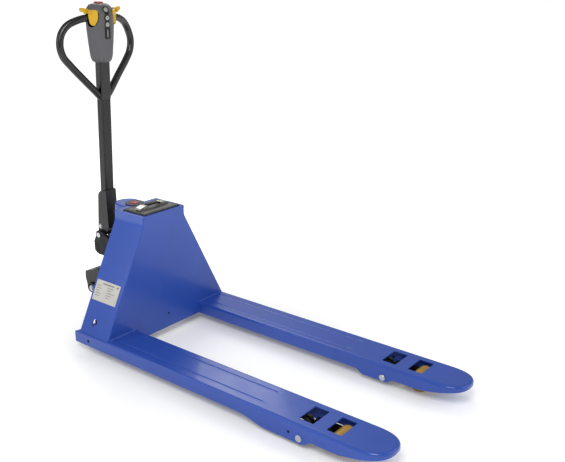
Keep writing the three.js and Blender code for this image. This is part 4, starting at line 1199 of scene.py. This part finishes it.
def build_strip():
    """The dark strip down the head's face that holds the keys and a charge bar."""
    back, front = HEAD_FACE - 0.6, HEAD_FACE + 1.5
    low = rounded([(-12.5, 798, 4), (12.5, 798, 4), (12.5, 841, 2), (-12.5, 841, 2)])
    lobes = [bar("x", 13, back, front, (0, w), 44) for w in (851, 875.5)]
    neck = block(back, front, -8.5, 8.5, 835, 884)
    top = joined(bar("x", 13, -1.2, 1.1, count=44), block(-1.2, 1.1, -8, 8, -17, 2))
    top.transform(on_face(*KEYS[0][2:]))
    strip = joined(prism(low, "x", back, front), *lobes, neck, top)
    strip = cut(strip, *key_bores())
    piece("strip", strip, "tiller", PLASTIC, "control_strip", edge=0.4, where=TILLER)
    light = prism(rectangle(-1.6, 1.6, 804, 832, 1.2), "x", HEAD_FACE + 1.3, HEAD_FACE + 2)
    piece("charge_bar", light, "tiller", LIGHT, edge=0.2, where=TILLER)


def build_key(node, body, place):
    cap = [(0, -5), (8.5, -5), (8.5, 2.2), (8.1, 3.0), (7.2, 3.4), (4, 3.55), (0, 3.6)]
    key = turned(cap, "x", count=40)
    key.transform(place)
    piece(node + "_cap", key, body, LIGHT, node, edge=0, where=TILLER)
    signs = {
        "lift_button": [(-3.6, -2.2), (3.6, -2.2), (0, 3.4)],
        "lower_button": [(-3.6, 2.2), (3.6, 2.2), (0, -3.4)],
        "horn_button": circle(2.6, count=20),
    }
    mark = prism(signs[node], "x", 3.3, 3.75)
    mark.transform(place)
    piece(node + "_mark", mark, body, INK, edge=0, where=TILLER)


def build_belly_key():
    foot = [(-24, 917), (4, 917)]
    dome = [(4, 927, 5), (-4, 933, 8), (-20, 932, 8), (-24, 925, 5)]
    belly = rounded([(TUBE_X + x, *rest) for x, *rest in foot + dome], 6)
    cap = prism(belly, "y", -14, 14)
    piece("belly_key_cap", cap, "belly_key", RED, "belly_button", edge=2.0, steps=4, where=TILLER)


def thumb_wing(side):
    """One side of the throttle: its pad, hub, the bridge between them and the upper ear."""
    x, w = THROTTLE_AXIS
    pad = prism(pad_outline(1.08, 1.06, 8), "x", -2, 7)
    pad = round_edges(pad, lambda a, b: min(a.x, b.x) > 6.9, 2.6, 4)
    pad.transform(pad_place(side))
    hub = bar("y", 9, *span(side, 62, 74), THROTTLE_AXIS, 40)
    bridge = block(x, x + 24, *span(side, 62, 68), w - 6, w + 6)
    ear = [(62, w - 5, 2), (62, w + 9, 4), (90, w + 14.5, 7), (95, w + 3, 8), (80, w - 5, 8)]
    ear = prism(mirrored(rounded(ear, 7), side), "x", x - 9, x + 6)
    return joined(pad, hub, bridge, ear)


def build_throttle():
    wings = [thumb_wing(side) for side in SIDES.values()]
    wings = joined(*wings, bar("y", 4, -70, 70, THROTTLE_AXIS, 28))
    looks = {"edge": 1.5, "steps": 3, "angle": 40, "where": TILLER}
    piece("thumb_wings", wings, "thumb_throttle", YELLOW, "throttle", **looks)


# ---------- The whole truck ----------
build_camera()
build_floor()
build_lights()
build_sky()
for label, side in SIDES.items():
    build_fork(label, side)
build_housing()
build_battery()
build_stop_switch()
build_rocker()
build_carriage()
build_turret()
build_bracket()
build_tube()
build_loop()
build_head()
build_throttle()
